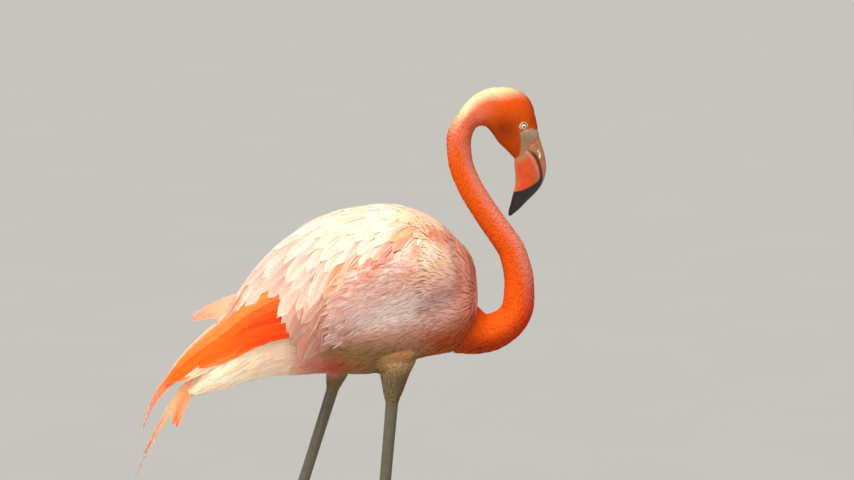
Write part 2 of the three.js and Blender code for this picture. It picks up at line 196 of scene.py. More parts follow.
def smooth(value, low, high):
    """0 below low, 1 above high (or the other way round), with an easy curve between."""
    share = np.clip((value - low) / (high - low), 0, 1)
    return share * share * (3 - 2 * share)


def bell(value, middle, reach, power=2):
    """1 at the middle and falling to both sides, to about a third at the reach."""
    return np.exp(-(((value - middle) / reach) ** power))


def around(count):
    """Angles once round, in equal steps."""
    return np.linspace(0, 2 * math.pi, count + 1)[:-1]


def rail(rows):
    """A smooth path through rows, by the share from first to last: between two rows a cubic whose
    slope at each is half the way between its neighbours; past either end it runs on straight."""
    rows = np.array(rows, float)
    slopes = np.gradient(rows, axis=0)
    last = len(rows) - 1

    def at(share):
        place = np.asarray(share, float) * last
        kept = np.clip(place, 0, last)
        k = np.minimum(kept.astype(int), last - 1)
        f = (kept - k)[..., None]
        cubic = (
            (2 * f**3 - 3 * f**2 + 1) * rows[k] + (f**3 - 2 * f**2 + f) * slopes[k]
            + (3 * f**2 - 2 * f**3) * rows[k + 1] + (f**3 - f**2) * slopes[k + 1]
        )
        end = np.where(place[..., None] < 0, slopes[0], slopes[last])
        return cubic + end * (place - kept)[..., None]

    return at


def oval_form(rows):
    """Ovals hung between an upper line and a lower line (each x, z) with a half width: a point goes
    round by its angle, 0 on the upper line and a quarter turn at the left side."""
    lines = rail(rows)

    def at(share, angle):
        top_x, top_z, low_x, low_z, half = np.moveaxis(lines(share), -1, 0)
        up = np.cos(angle)
        x = (top_x + low_x) / 2 + up * (top_x - low_x) / 2
        z = (top_z + low_z) / 2 + up * (top_z - low_z) / 2
        return in_frame(x, half * np.sin(angle), z)

    return at


# From the breast up: middle x, z and half depth.
NECK_ROWS = np.array([
    [90, 647.6, 47], [120.2, 633.4, 41], [146.9, 623, 33], [161.7, 621.7, 28.6],
    [176.2, 624.7, 25.8], [196.5, 638.3, 23.5], [207.4, 658.3, 22.2], [209.3, 688.3, 21],
    [207.1, 709.5, 20.2], [198.9, 738.3, 19], [186.9, 757.5, 18.4], [161.6, 793.9, 17.7],
    [140.5, 828.2, 17.3], [127.9, 858.7, 17], [124.2, 884.7, 17], [124.7, 900.1, 17.2],
    [130.5, 915, 16.2], [137.4, 925.3, 16.6],
])
# From nape to bill: upper line x, z, lower line x, z, half width.
HEAD_ROWS = [
    [124.9, 936.2, 150, 914.2, 15.8], [136.9, 950.6, 157, 915.8, 17.2],
    [149.4, 960.7, 163, 913.6, 18.4], [164.3, 967.2, 168, 908.4, 19.2],
    [179.2, 969.5, 173.6, 900.9, 19.8], [194, 968.8, 179, 892.8, 20.2],
    [207.9, 964.8, 185.5, 886.3, 20], [219.4, 955.9, 191.5, 880.6, 19.2],
    [226.7, 943.1, 196.5, 875.4, 18.2], [230.7, 927.8, 199.5, 872.3, 16.8],
    [233.9, 912.5, 201, 869.8, 15.4], [236.4, 899.5, 201.4, 867.1, 14.2],
]
NECK_WIDTH = 0.92
neck_way = unit(np.gradient(NECK_ROWS[:, :2], axis=0))
nape = np.stack([-neck_way[:, 1], neck_way[:, 0]], 1) * NECK_ROWS[:, 2:]
neck_ovals = np.hstack([
    NECK_ROWS[:, :2] + nape, NECK_ROWS[:, :2] - nape, NECK_WIDTH * NECK_ROWS[:, 2:]
])[:-1]  # the last row only gives its neighbour's slope; the head's own rows follow
neck_and_head = oval_form(np.vstack([neck_ovals, HEAD_ROWS]))

# From breast to tail: upper line x, z, lower line x, z, half width.
trunk_form = oval_form([
    [151.5, 680, 151.3, 665, 12], [149.5, 704, 148, 634, 35], [142.5, 729, 139, 614, 50],
    [129, 748, 121, 597, 60], [108, 766, 98, 592, 67], [80, 783, 72, 587, 72],
    [50, 793, 44, 577, 76], [18, 796, 16, 567, 78.5], [-16, 793, -14, 563, 79],
    [-50, 784, -44, 565, 76.5], [-83, 768, -76, 564, 71], [-113, 745, -108, 561.5, 63],
    [-140, 713, -138, 562, 54], [-164, 678, -164, 555, 46], [-186, 644, -190, 547.5, 40],
    [-207, 614, -212, 541, 34], [-230, 584, -231, 536, 27], [-247, 556, -246, 533, 17],
    [-255, 541, -253, 533.5, 6],
])

# From shoulder to wing tip: upper edge x, z, lower edge x, z, half width, half parting, last angle.
WING_ROWS = [
    [122, 738, 130, 718, 36, 26, 90], [110, 766, 122, 704, 66, 22, 98],
    [84, 786, 98, 694, 80, 14, 103], [52, 800, 62, 680, 87, 8, 107],
    [18, 804.5, 24, 668, 91, 5, 110], [-16, 801, -12, 653, 92, 5, 112],
    [-50, 793.5, -44, 635, 90, 5, 113], [-80, 782, -74, 618, 86, 5, 114],
    [-108, 764, -104, 606, 80, 5, 113], [-136, 742, -134, 606, 72, 5, 112],
    [-163, 713, -164, 603, 63, 5, 110], [-186, 680, -192, 596, 54, 5, 108],
    [-206, 648, -216, 587, 45, 5, 104], [-230, 626, -238, 575, 36, 5, 99],
    [-254, 602, -258, 562.5, 28, 4.5, 94], [-275, 577, -277, 551, 21, 4, 90],
    [-290, 552, -289, 543, 15, 4, 88], [-298, 539, -297, 536.5, 12, 5, 86],
]
WING_TUCK = 7
wing_lines = rail(WING_ROWS)


def back_and_wings(share, t):
    """The upper part of an oval at each share of the way back: t is 0 on the back's ridge, 1 at the
    left wing's lower edge and -1 at the right one's, and the edges draw in against the flank."""
    upper_x, upper_z, lower_x, lower_z, half, parting, turn = np.moveaxis(wing_lines(share), -1, 0)
    first, last = np.arcsin(parting / half), np.radians(turn)
    angle = np.abs(t) * last
    down = (np.cos(first) - np.cos(angle)) / (np.cos(first) - np.cos(last))
    free = smooth(share * (len(WING_ROWS) - 1), 9, len(WING_ROWS) - 1)
    tuck = WING_TUCK * (1 - free) * smooth((angle - first) / (last - first), 0.6, 1)
    y = np.sign(t) * (half - tuck) * np.sin(angle)
    return in_frame(upper_x + down * (lower_x - upper_x), y, upper_z + down * (lower_z - upper_z))


def post_form(rows):
    """Upright ovals: rows of middle x, y, z and half sizes along x and y, gone round by angle."""
    lines = rail(rows)

    def at(share, angle):
        x, y, z, along, across = np.moveaxis(lines(share), -1, 0)
        return in_frame(x + along * np.cos(angle), y + across * np.sin(angle), z)

    return at


LEG_SPREAD = 42
SIDES = {"right": -1, "left": 1}
HIP_X = {"right": 36, "left": -38}
DOWN_END_X = {"right": 31, "left": -54}
ANKLE_X = {"right": 14.9, "left": -113}
TOE_X = {"right": 31, "left": -82}
HIP_Z, DOWN_END_Z, ANKLE_Z = 586, 533, 345
# The feathered thigh from inside the belly down: share of its height, half sizes, way in from LEG_SPREAD.
THIGH_SIZES = [
    [2.1, 32, 12, 23], [1.7, 36, 18, 16], [1.3, 33, 22, 7], [0.9, 24.5, 20.5, 1],
    [0.66, 19.8, 17.4, 0], [0.44, 16.6, 14.6, 0], [0.22, 13.4, 12, 0], [0, 9.8, 9.2, 0],
]


def thigh_rows(side):
    """The thigh's rows: its middle lies on the straight line from its end above the shank to the
    hip, and runs on past it."""
    low, high = DOWN_END_X[side], HIP_X[side]
    return [[low + (high - low) * share, SIDES[side] * (LEG_SPREAD - inward),
             DOWN_END_Z + (HIP_Z - DOWN_END_Z) * share, along, across]
            for share, along, across, inward in THIGH_SIZES]


thigh_form = {side: post_form(thigh_rows(side)) for side in SIDES}


def slopes_of(form, share, turn):
    """How a form moves with each of its two parameters, and the unit normal between the two."""
    step = 1e-4
    by_share = (form(share + step, turn) - form(share - step, turn)) / (2 * step)
    by_turn = (form(share, turn + step) - form(share, turn - step)) / (2 * step)
    return by_share, by_turn, unit(np.cross(by_share, by_turn))


def facing(form, share, turn):
    """1, or -1 where a form's normals have to be turned to face away from its middle."""
    points, normal = form(share, turn), slopes_of(form, share, turn)[2]
    middle = points.reshape(-1, 3).mean(0)
    return np.sign(((points - middle) * normal).sum(-1).mean() or 1)


def grid_faces(rows, columns):
    """Four-sided faces between rings of points; a ring's last column meets its first."""
    a = np.arange(rows - 1)[:, None] * columns
    j = np.arange(columns)[None, :]
    k = (j + 1) % columns
    return np.stack([a + j, a + k, a + columns + k, a + columns + j], -1).reshape(-1, 4)


def closed_tube(points):
    """Rings of points (rows, columns, 3) as one closed form: its points and faces, each end drawn
    together on the middle of its ring, and its faces turned to enclose a positive volume."""
    rows, columns = points.shape[:2]
    flat = np.vstack([points.reshape(-1, 3), points[0].mean(0), points[-1].mean(0)])
    j = np.arange(columns)
    k = (j + 1) % columns
    last = (rows - 1) * columns
    start = np.stack([0 * j + rows * columns, k, j], 1)
    end = np.stack([0 * j + rows * columns + 1, j + last, k + last], 1)
    quads, caps = grid_faces(rows, columns), np.vstack([start, end])
    three = np.vstack([quads[:, :3], quads[:, [0, 2, 3]], caps])
    a, b, c = (flat[three[:, i]] for i in range(3))
    if (a * np.cross(b, c)).sum() < 0:
        quads, caps = quads[:, ::-1], caps[:, ::-1]
    return flat, [quads, caps]


def grow_together(name, forms, **how):
    """The points and the mesh of several closed forms joined by booleans, and where voxel is given
    remeshed at that size and eased."""
    pieces = [mesh_piece(f"{name}_{i}", *form) for i, form in enumerate(forms)]
    first = pieces[0]
    for other in pieces[1:]:
        join = first.modifiers.new("join", "BOOLEAN")
        join.operation = "UNION"
        join.solver = "MANIFOLD"
        join.object = other
    if "voxel" in how:
        remesh = first.modifiers.new("remesh", "REMESH")
        remesh.mode = "VOXEL"
        remesh.voxel_size = how["voxel"]
        ease = first.modifiers.new("ease", "SMOOTH")
        ease.factor = 0.5
        ease.iterations = how["ease"]
    done = first.evaluated_get(bpy.context.evaluated_depsgraph_get())
    mesh = bpy.data.meshes.new_from_object(done)
    points = np.empty(len(mesh.vertices) * 3)
    mesh.vertices.foreach_get("co", points)
    for piece in pieces:
        bpy.data.objects.remove(piece)
    return points.reshape(-1, 3), mesh


EYE = np.array([213.8 + CENTRE_X, 13.4, 916.1]) * MM
EYE_RADIUS = 5.6 * MM
EYE_WAY = unit(np.array([0.10, 0.985, 0.06]))


def eye_distance(points):
    """How far points lie from the axis of the eye on their own side."""
    way = points * [1, 0, 1] + np.abs(points) * [0, 1, 0] - EYE
    along = way @ EYE_WAY
    away = np.linalg.norm(way - along[..., None] * EYE_WAY, axis=-1)
    return np.where(along > -4 * MM, away, 1)


def bare_face(points):
    """1 on the naked skin between bill and eye and in the ring round the eye, 0 under feathers."""
    x, z = in_tables(points)
    edge = 207.5 + 2.2 * np.cos((z - 893) / 11) + 0.5 * np.sin(z * 1.9)
    brow = 908.5 + 5 * bell(x, 224, 7) + 0.5 * np.sin(x * 1.7)
    lores = smooth(x, edge - 1, edge + 1.4) * smooth(z, brow + 1.4, brow - 1.2)
    ring = smooth(eye_distance(points), 7.0 * MM, 6.2 * MM)
    return np.maximum(lores, ring) * (z > 850)


def crowded(low, high, count, spots):
    """Places from low to high, closer together near each spot (place, reach, how many times)."""
    fine = np.linspace(low, high, 4001)
    density = 1 + sum((times - 1) * bell(fine, place, reach, 4) for place, reach, times in spots)
    total = np.concatenate([[0], np.cumsum(density[1:] + density[:-1])])
    return np.interp(np.linspace(0, total[-1], count), total, fine)


def lid_relief(points):
    """How far the face's skin stands off its plain form round the eye: a socket that runs in under
    the eyeball, the two lids' rounded rim, and the shallow fold outside it."""
    r = eye_distance(points) / MM
    socket = -7 * smooth(r, 4.15, 3.7)
    rim = -1.25 + 0.95 * bell(r, 5.15, 0.75)
    return (socket + rim * smooth(r, 7.6, 5.6) - 0.25 * bell(r, 6.7, 0.5)) * MM


def squeezed(form, shares, turns, places, factors):
    """A form's rings, each drawn in towards its own middle by a factor that changes along them."""
    share, turn = np.meshgrid(shares, turns, indexing="ij")
    plain = form(share, turn)
    middle = plain.mean(1, keepdims=True)
    return middle + (plain - middle) * np.interp(share, places, factors)[..., None]


shares = crowded(0, 1, 300, [(0.905, 0.024, 5), (0.85, 0.16, 2)])
angles = crowded(0, 2 * math.pi, 97, [(1.62, 0.3, 3), (2 * math.pi - 1.62, 0.3, 3)])[:-1]
grid = np.meshgrid(shares, angles, indexing="ij")
plain = neck_and_head(*grid)
away = slopes_of(neck_and_head, *grid)[2] * facing(neck_and_head, *grid)
coat_depth = np.interp(grid[0], [0, 0.4, 0.62, 0.8, 1], [4, 2.6, 2.2, 1.3, 1.0]) * MM
coat_depth = coat_depth + (0.25 * MM - coat_depth) * bare_face(plain)
hide_forms = [
    squeezed(trunk_form, np.linspace(0.01, 0.84, 76), around(96), [0, 0.06, 0.62, 0.84],
             [0.55, 0.9, 0.88, 0.42]),
    squeezed(back_and_wings, np.linspace(0.01, 0.66, 66), np.linspace(-1, 1, 81),
             [0, 0.1, 0.45, 0.66], [0.7, 0.9, 0.9, 0.5]),
    plain + away * (lid_relief(plain) - coat_depth)[..., None],
]
hide_forms += [squeezed(form, np.linspace(0, 1, 30), around(40), [0, 0.9, 1], [0.86, 0.82, 0.8])
               for form in thigh_form.values()]

# Bare leg: z, and half sizes along x and y, from the sole to inside the thigh.
LEG_SIZES = np.array([
    [0, 9.6, 9], [8, 10.2, 9.4], [14, 9.4, 8.6], [19, 8.8, 7.8], [35, 7.4, 6.6],
    [68, 6.2, 5.2], [125, 6, 5], [182, 6, 5], [240, 6.4, 5.3], [296, 7, 5.8], [320, 9.2, 7.8],
    [334, 10.9, 9.3], [345, 11.2, 9.8], [356, 10.4, 9.2], [371, 8.6, 7.6], [405, 8.3, 6.9],
    [439, 8.3, 6.8], [495, 8.6, 7], [533, 9, 7.6], [566, 9.4, 8],
])
# Front toes: length, and angle from straight ahead.
TOES = {"inner": (62, math.radians(-32)), "middle": (80, 0.0), "outer": (70, math.radians(34))}
TOE_HALF_WIDTH, TOE_HEIGHT = 5.2, 9
TOE_SIZES = [1, 0.84, 0.98, 0.76, 0.84, 0.56]  # thick at each joint, from the foot's middle out
HEEL, WEB = 9.0, 2.6
SCUTE = 5.2


def foot_outline(angle):
    """How far the foot reaches from the toe joint at each angle: the blunt end of a toe, the
    scooped front edge of a web, or the heel, whichever is farthest."""
    reach = np.full_like(angle, HEEL)
    for length, turn in TOES.values():
        off = np.abs(angle - turn)
        side_reach = TOE_HALF_WIDTH * 0.86 / np.maximum(np.tan(np.minimum(off, 1.5)), 1e-4)
        toe = (length**-5.0 + side_reach**-5.0) ** (-1 / 5)
        reach = np.maximum(reach, np.where(off < 1.5, toe, 0))
    edges = [0.9 * length * np.array([math.cos(turn), math.sin(turn)]) for length, turn in TOES.values()]
    share = np.linspace(0, 1, 60)[:, None]
    for start, end in zip(edges, edges[1:]):
        bend = 0.36 * (start + end)
        edge = (1 - share) ** 2 * start + 2 * share * (1 - share) * bend + share**2 * end
        turns, out = np.arctan2(edge[:, 1], edge[:, 0]), np.hypot(edge[:, 0], edge[:, 1])
        reach = np.maximum(reach, np.interp(angle, turns, out, left=0, right=0))
    return reach


def foot_height(reach, angle):
    """How high the foot stands there: rounded toes with swollen joints over a thin web."""
    height = np.full_like(reach, WEB) ** 6
    for length, turn in TOES.values():
        along, aside = reach * np.cos(angle - turn), reach * np.sin(angle - turn)
        size = np.interp(along / length, np.linspace(0, 1, len(TOE_SIZES)), TOE_SIZES)
        round_top = np.sqrt(np.maximum(0, 1 - (aside / (TOE_HALF_WIDTH * size)) ** 2))
        height = height + (TOE_HEIGHT * size**1.2 * round_top * (along > 0)) ** 6
    return height ** (1 / 6)


def foot_form(side):
    """The webbed foot as a top and a flat sole over the same polar net about the toe joint."""
    angle = crowded(-math.pi, math.pi, 241, [(turn, 0.16, 5) for _, turn in TOES.values()])[:-1]
    share = np.linspace(0.02, 1, 34)[:, None] ** 0.8
    reach = share * foot_outline(angle)
    top = foot_height(reach, angle) * (1 - 0.75 * share**14) * np.sqrt(1.0001 - 0.9 * share**20)
    x = reach * np.cos(angle) + TOE_X[side]
    y = (reach * np.sin(angle) + LEG_SPREAD) * SIDES[side]
    return closed_tube(np.concatenate([in_frame(x, y, top), in_frame(x, y, 0 * x)[::-1]]))


def leg_tube(side):
    """The bare leg as upright ovals along its path, with the saw-edged scutes down the front of
    the tarsus and shank: each overlaps the next lower one by a fine step."""
    z = np.linspace(0, 566, 380)
    kernel = np.hanning(13) / np.hanning(13).sum()
    along, across = (
        np.convolve(np.pad(np.interp(z, LEG_SIZES[:, 0], LEG_SIZES[:, k]), 6, "edge"), kernel, "valid")
        for k in (1, 2))
    middle = np.interp(z, [0, 19, ANKLE_Z, DOWN_END_Z, HIP_Z],
                       [TOE_X[side], TOE_X[side], ANKLE_X[side], DOWN_END_X[side], HIP_X[side]])
    height, angle = np.meshgrid(z, around(40), indexing="ij")
    step = ((height + 0.8 * np.abs(np.sin(angle))) / SCUTE) % 1
    front = smooth(np.cos(angle), -0.2, 0.5) * smooth(height, 22, 40)
    knee = bell(height, 343, 12, 4)
    swell = 1 + 0.05 * (step - 0.5) * front * (1 - knee)
    bulge = 1 + 0.16 * knee * np.maximum(0, -np.cos(angle))
    x = middle[:, None] + along[:, None] * swell * bulge * np.cos(angle)
    y = SIDES[side] * LEG_SPREAD + across[:, None] * swell * np.sin(angle)
    return closed_tube(in_frame(x, y, height))


def hind_toe(side):
    """The short raised toe at the back: tapering ovals along a falling line."""
    share = np.linspace(0, 1, 12)[:, None]
    turn = math.radians(180 - 18 * SIDES[side])
    out = 3 + 20 * share
    half = np.interp(share, [0, 0.4, 0.8, 1], [3.3, 3.1, 2.2, 0.7])
    aside = half * np.cos(around(16))
    x = TOE_X[side] + out * math.cos(turn) - aside * math.sin(turn)
    y = SIDES[side] * LEG_SPREAD + out * math.sin(turn) + aside * math.cos(turn)
    z = np.interp(share, [0, 1], [14.5, 8.2]) + half * np.sin(around(16))
    return closed_tube(in_frame(x, y, z))


LEG_VOXEL = 1.4 * MM
SOLE = 0.7 * MM  # what lies lower than this is pressed flat on the floor
hide_forms = [closed_tube(form) for form in hide_forms]
for side in SIDES:
    parts = [leg_tube(side), foot_form(side), hind_toe(side)]
    points, mesh = grow_together("leg", parts, voxel=LEG_VOXEL, ease=3)
    points[:, 2] = np.where(points[:, 2] < SOLE, 0, points[:, 2])
    corners = np.empty(len(mesh.polygons) * 4, np.int32)
    mesh.polygons.foreach_get("vertices", corners)
    hide_forms.append((points, [corners.reshape(-1, 4)]))
    bpy.data.meshes.remove(mesh)
skin_points, hide = grow_together("skin", hide_forms)


def paint(red, green, blue):
    """A colour as seen, 0 to 255, as the light it sends back."""
    return (np.array([red, green, blue]) / 255) ** 2.2


def mixed(first, second, share):
    """From the first colour to the second by a share for each point."""
    return first + (second - first) * np.asarray(share)[..., None]


def layered(tint, *layers):
    """Each layer's colour laid over the ones before it, by its share for each point."""
    for colour, share in layers:
        tint = mixed(tint, colour, share)
    return tint


CREAM, PINK, LOW_SHADE_BLUSH = paint(255, 246, 220), paint(248, 196, 182), paint(216, 150, 126)
SHADED_BELLY_BEIGE, ORANGE, UNDERSIDE_SHADE_ORANGE = paint(162, 122, 78), paint(250, 94, 6), paint(226, 58, 2)
CORAL, SALMON_AND_SHADE, PEACH = paint(242, 124, 96), paint(196, 74, 52), paint(252, 186, 124)
PALE_PEACH, CROWN_HIGHLIGHT_CREAM = paint(253, 208, 172), paint(255, 248, 196)
BARE_FACE, LID, HORN_BASE = paint(178, 152, 122), paint(238, 222, 194), paint(190, 120, 80)
LEG_GREY, LEG_JOINT, FOOT_GREY = paint(106, 100, 82), paint(128, 96, 84), paint(104, 94, 86)
PALE_EDGE_AND_HIGHLIGHT, SHADE_ROSE, THIGH = paint(255, 232, 222), paint(226, 146, 122), paint(128, 101, 59)

# Streaks of other colours among the pale feathers: from x, z, to x, z, reach, colour, strength.
WING_MARKS = [
    [45, 770, -8, 716, 10, ORANGE, 0.95], [86, 770, 102, 760, 8, ORANGE, 0.85],
    [62, 744, 48, 712, 11, ORANGE, 0.7], [-8, 752, -34, 722, 8, CREAM, 0.8],
    [70, 784, 36, 778, 16, PEACH, 0.8], [16, 742, 2, 730, 9, ORANGE, 0.4],
    [-24, 716, -40, 690, 12, CORAL, 0.5], [96, 736, 60, 722, 14, PEACH, 0.6],
    [-42, 722, -66, 670, 12, PEACH, 0.9], [-60, 690, -84, 640, 13, CORAL, 0.6],
    [-20, 790, -70, 760, 16, PEACH, 0.35], [-112, 664, -128, 630, 13, CORAL, 0.6],
    [-90, 700, -120, 668, 12, CREAM, 0.7], [24, 704, -8, 668, 15, CORAL, 0.25],
    # The pale pink streak low on the side is part of the painted highlight below the shoulder.
    [106, 776, 134, 740, 13, CORAL, 0.65], [66, 684, -4, 658, 20, PALE_EDGE_AND_HIGHLIGHT, 0.5],
    [54, 762, 26, 728, 7, CREAM, 0.7], [92, 756, 74, 728, 9, CREAM, 0.7],
]

neck_shares = np.linspace(0, 1, 170)
neck_top = neck_and_head(neck_shares, 0 * neck_shares)
neck_low = neck_and_head(neck_shares, math.pi + 0 * neck_shares)


def along_neck(points):
    """For each point the share along the neck of the nearest place on its middle line, how far it
    lies towards the nape (1) or the throat (-1), and its distance in half depths."""
    middle, arm = (neck_top + neck_low) / 2, (neck_top - neck_low) / 2
    half = np.linalg.norm(arm, axis=1)
    way = points[:, None, [0, 2]] - middle[None, :, [0, 2]]
    nearest = ((way**2).sum(-1) / half**2).argmin(1)
    off = points - middle[nearest]
    side = (off * arm[nearest]).sum(-1) / half[nearest] ** 2
    return neck_shares[nearest], side, np.linalg.norm(off, axis=-1) / half[nearest]


def flank_highlight(x, z):
    """How strong the painted highlight is on the side, in the soft patch below the wing's shoulder."""
    return bell(x, 38, 50) * bell(z - 0.12 * x, 660, 20)


def light_and_shade_mottled(tint, luck):
    """Painted shade and highlights feather by feather: some feathers darker rose, as if in shade, and
    some paler, as if catching the light.
    """
    return layered(tint, (SHADE_ROSE, 0.5 * smooth(luck, 0.45, 0)), (PALE_EDGE_AND_HIGHLIGHT, 0.6 * smooth(luck, 0.6, 1)))


def streaked(tint, x, z):
    """Adds the streaks, each fading out on both sides of its line."""
    for from_x, from_z, to_x, to_z, reach, colour, strength in WING_MARKS:
        along = np.array([to_x - from_x, to_z - from_z], float)
        way = np.stack([x - from_x, z - from_z], -1)
        part = np.clip(way @ along / (along @ along), 0, 1)[:, None]
        tint = mixed(tint, colour, strength * bell(np.linalg.norm(way - part * along, axis=1), 0, reach))
    return tint


def body_tint(x, z):
    """The trunk's colours: cream back, pink sides, greyish pink flanks and beige belly, darker downwards
    with painted shade, a painted highlight below the wing's shoulder, the orange that runs on to the
    breast from the neck and deepens to brown there as painted shade, the peach under the tail and the
    salmon at the vent deepened as painted shade, and brown at the thighs, darkened over their tops and
    along the trunk's underside as painted shade."""
    tint = layered(
        CREAM,
        (PINK, smooth(z, 780, 690)),
        # Blush and then beige lower down: partly the plumage's own tones, partly painted shade on the
        # lower flank and belly.
        (LOW_SHADE_BLUSH, smooth(z, 680, 620)),
        (SHADED_BELLY_BEIGE, smooth(z + 0.12 * x, 640, 600)),
        (CORAL, 0.75 * smooth(x, 98, 140) * smooth(z, 775, 715)),
        (paint(232, 146, 122), 0.8 * bell(x, 86, 34) * bell(z, 668, 40)),
        # The neck's orange running on to the breast, deepened to brown lower down as painted shade.
        (paint(190, 78, 6), 0.95 * smooth(x, 56, 104) * smooth(z - 0.2 * x, 642, 596)),
        # Painted highlight below the wing's shoulder.
        (PALE_EDGE_AND_HIGHLIGHT, 0.95 * flank_highlight(x, z)),
    )
    # Where painted shade lies over the tops of the thighs, where they stand out from the belly.
    low = smooth(z, 606, 570) * smooth(x, -6, 14) * smooth(x, 82, 64)
    return layered(
        streaked(tint, x, z),
        (paint(250, 176, 156), 0.8 * smooth(x, -50, -80) * smooth(z, 612, 596)),
        (paint(255, 220, 194), smooth(x, -80, -120)),
        (paint(255, 238, 206), smooth(x, -120, -170)),
        # Salmon at the vent under the flank feathers, deepened to dark red as painted shade.
        (paint(220, 124, 106), 0.8 * bell(x, -78, 28) * bell(z, 582, 17)),
        (SALMON_AND_SHADE, 0.9 * bell(x, -46, 24) * bell(z, 579, 17)),
        # Painted shade: the thighs' brown, darkened further over their tops and along the trunk's
        # underside.
        (0.7 * THIGH, np.clip(low + smooth(z, 566, 552) * smooth(x, -90, -80), 0, 1)),
    )


def colours_by_place(points):
    """The bird's colours by place, with painted shade and painted highlights in places, the same for the
    skin and for the plumage over it.
    """
    x, z = in_tables(points)
    share, side, off = along_neck(points)
    near = smooth(off, 1.9, 1.35)
    front = smooth(side, 0.1, -0.75) * smooth(share, 0.2, 0.32) * smooth(share, 0.60, 0.5)
    # Where the painted highlight of the overhead light lies: along the top of the head and nape, from
    # some way round towards the nape.
    crown_highlight = smooth(share, 0.53, 0.66) * smooth(share, 0.90, 0.79)
    low = 0.12 + 0.28 * smooth(share, 0.62, 0.76) + 0.4 * smooth(share, 0.76, 0.86)
    neck = layered(
        ORANGE,
        # Painted shade: deeper orange on the throat side of the lower neck, and dark orange-brown under
        # the neck's base.
        (UNDERSIDE_SHADE_ORANGE, smooth(side, 0.2, -0.9) * smooth(share, 0.5, 0.2)),
        (paint(176, 62, 4), 0.7 * smooth(side, 0.3, -0.6) * smooth(share, 0.24, 0.08)),
        (paint(240, 142, 120), 0.8 * front),
        (CORAL, 0.75 * smooth(share, 0.46, 0.58) * smooth(share, 0.80, 0.68)),
        (paint(222, 88, 4), 0.7 * smooth(share, 0.70, 0.80) * smooth(side, 0.5, -0.2)),
        # Painted shade: a dark orange-brown patch on the cheek, under the curve of the head.
        (paint(150, 50, 2), 0.75 * bell(x, 190, 16) * bell(z, 912, 15) * near * (x > 160)),
        # Painted highlight: pale cream along the crown and the nape's arch, where the light falls from
        # above.
        (CROWN_HIGHLIGHT_CREAM, 0.95 * smooth((side - low) / 0.55, 0, 1) * crown_highlight),
    )
    to_bill = (x - 236.4) * 0.679 - (z - 899.5) * 0.734
    face = layered(
        BARE_FACE,
        (paint(148, 120, 86), 0.8 * smooth(z + 0.3 * x, 975, 962)),
        (HORN_BASE, 0.85 * smooth(to_bill, -11, 0)),
        (LID, smooth(eye_distance(points), 7.5 * MM, 6.0 * MM)),
    )
    leg = layered(LEG_GREY, (LEG_JOINT, 0.75 * bell(z, ANKLE_Z, 20)), (FOOT_GREY, smooth(z, 50, 14)))
    return layered(
        body_tint(x, z),
        (neck, near * smooth(share, 0.03, 0.09) * (x > 60)),
        (face, bare_face(points)),
        (leg, smooth(z, 541, 533)),
    )


def set_tint(mesh, tint):
    """Stores each point's colour, of three or four values, on the mesh for its material to read."""
    layer = mesh.color_attributes.new("tint", "FLOAT_COLOR", "POINT")
    full = np.concatenate([tint, np.ones(tint.shape[:-1] + (1,))], -1)[..., :4]
    layer.data.foreach_set("color", full.ravel())


skin_paint, node, surface, sums = node_material("skin_paint")
place = node("TexCoord", "Object")
blotch = node("TexNoise", "Fac", vector=place, scale=90.0, detail=5.0)
shade = node("MixRGB", "Color", blend_type="MULTIPLY", fac=0.45,
             color1=node("Attribute", "Color", attribute_name="tint"),
             color2=toned(node, blotch, (0.62, 0.58, 0.57), (1, 1, 1), 0.3, 0.62))
scales = node("TexVoronoi", "Distance", vector=place, scale=420.0, feature="DISTANCE_TO_EDGE")
scales = sums("MULTIPLY", node("MapRange", "Result", value=scales, from_max=0.12),
              node("Attribute", "Fac", attribute_name="scaly"))
pores = sums("MULTIPLY", node("TexNoise", "Fac", vector=place, scale=1500.0, detail=3.0), 0.5)
relief = node("Bump", "Normal", strength=0.55, distance=0.0006, height=sums("ADD", scales, pores))
surface(base_color=shade, normal=relief, roughness=0.52, specular_ior_level=0.4)

skin = placed("skin", hide)
hide.materials.clear()
hide.materials.append(skin_paint)
hide.shade_smooth()
set_tint(hide, colours_by_place(skin_points))
scaly = smooth(skin_points[:, 2] / MM, 541, 530)
hide.attributes.new("scaly", "FLOAT", "POINT").data.foreach_set("value", scaly)
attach(skin, "root")
FLESH = ["head", "neck_upper", "neck_middle", "neck_lower", "trunk", "tail"]
for side in SIDES:
    FLESH += [f"{part}_{side}" for part in ("wing", "thigh", "shank", "tarsus", "foot")]
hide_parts(*FLESH)

# ---- The bill ----
# Two horn sheaths bent sharply down in the middle: a thin lid above and a deep keeled trough below,
# orange and pinkish at the base and black from the bend to the tip, with a slit nostril each side.

# From face to tip: culmen x, z, mouth line x, z, keel x, z, half width.
bill_lines = rail([
    [236.4, 899.5, 219.8, 884, 201.4, 867.1, 14.2], [241.5, 883, 231.3, 873.6, 201.7, 857.1, 15],
    [244.9, 869.1, 236.4, 862.8, 202.6, 847.7, 15.4], [246.1, 856.6, 239.2, 852, 203, 838.7, 15.4],
    [244.3, 844, 238.6, 841.6, 202.2, 829.8, 15], [240, 832.6, 233.6, 831, 200.5, 821.8, 13.8],
    [231.3, 821.2, 224.9, 822.1, 198.7, 815.4, 11.8], [220.2, 810, 214.2, 812.7, 196.6, 805.9, 9],
    [207.8, 797.2, 203.7, 800.7, 194.1, 796.9, 6], [196.5, 788, 195.8, 789.6, 193.4, 789.8, 2.6],
])
BILL_LENGTH = 140
BILL_UNDER_FACE = -0.035  # the sheaths start a little way in under the face's skin
MOUTH_GAP = 0.022
INNER_POINTS = 15
HORN_BLACK, HORN_ORANGE = paint(38, 33, 31), paint(218, 76, 4)
HORN_RED, HORN_PALE = paint(210, 120, 84), paint(226, 190, 164)


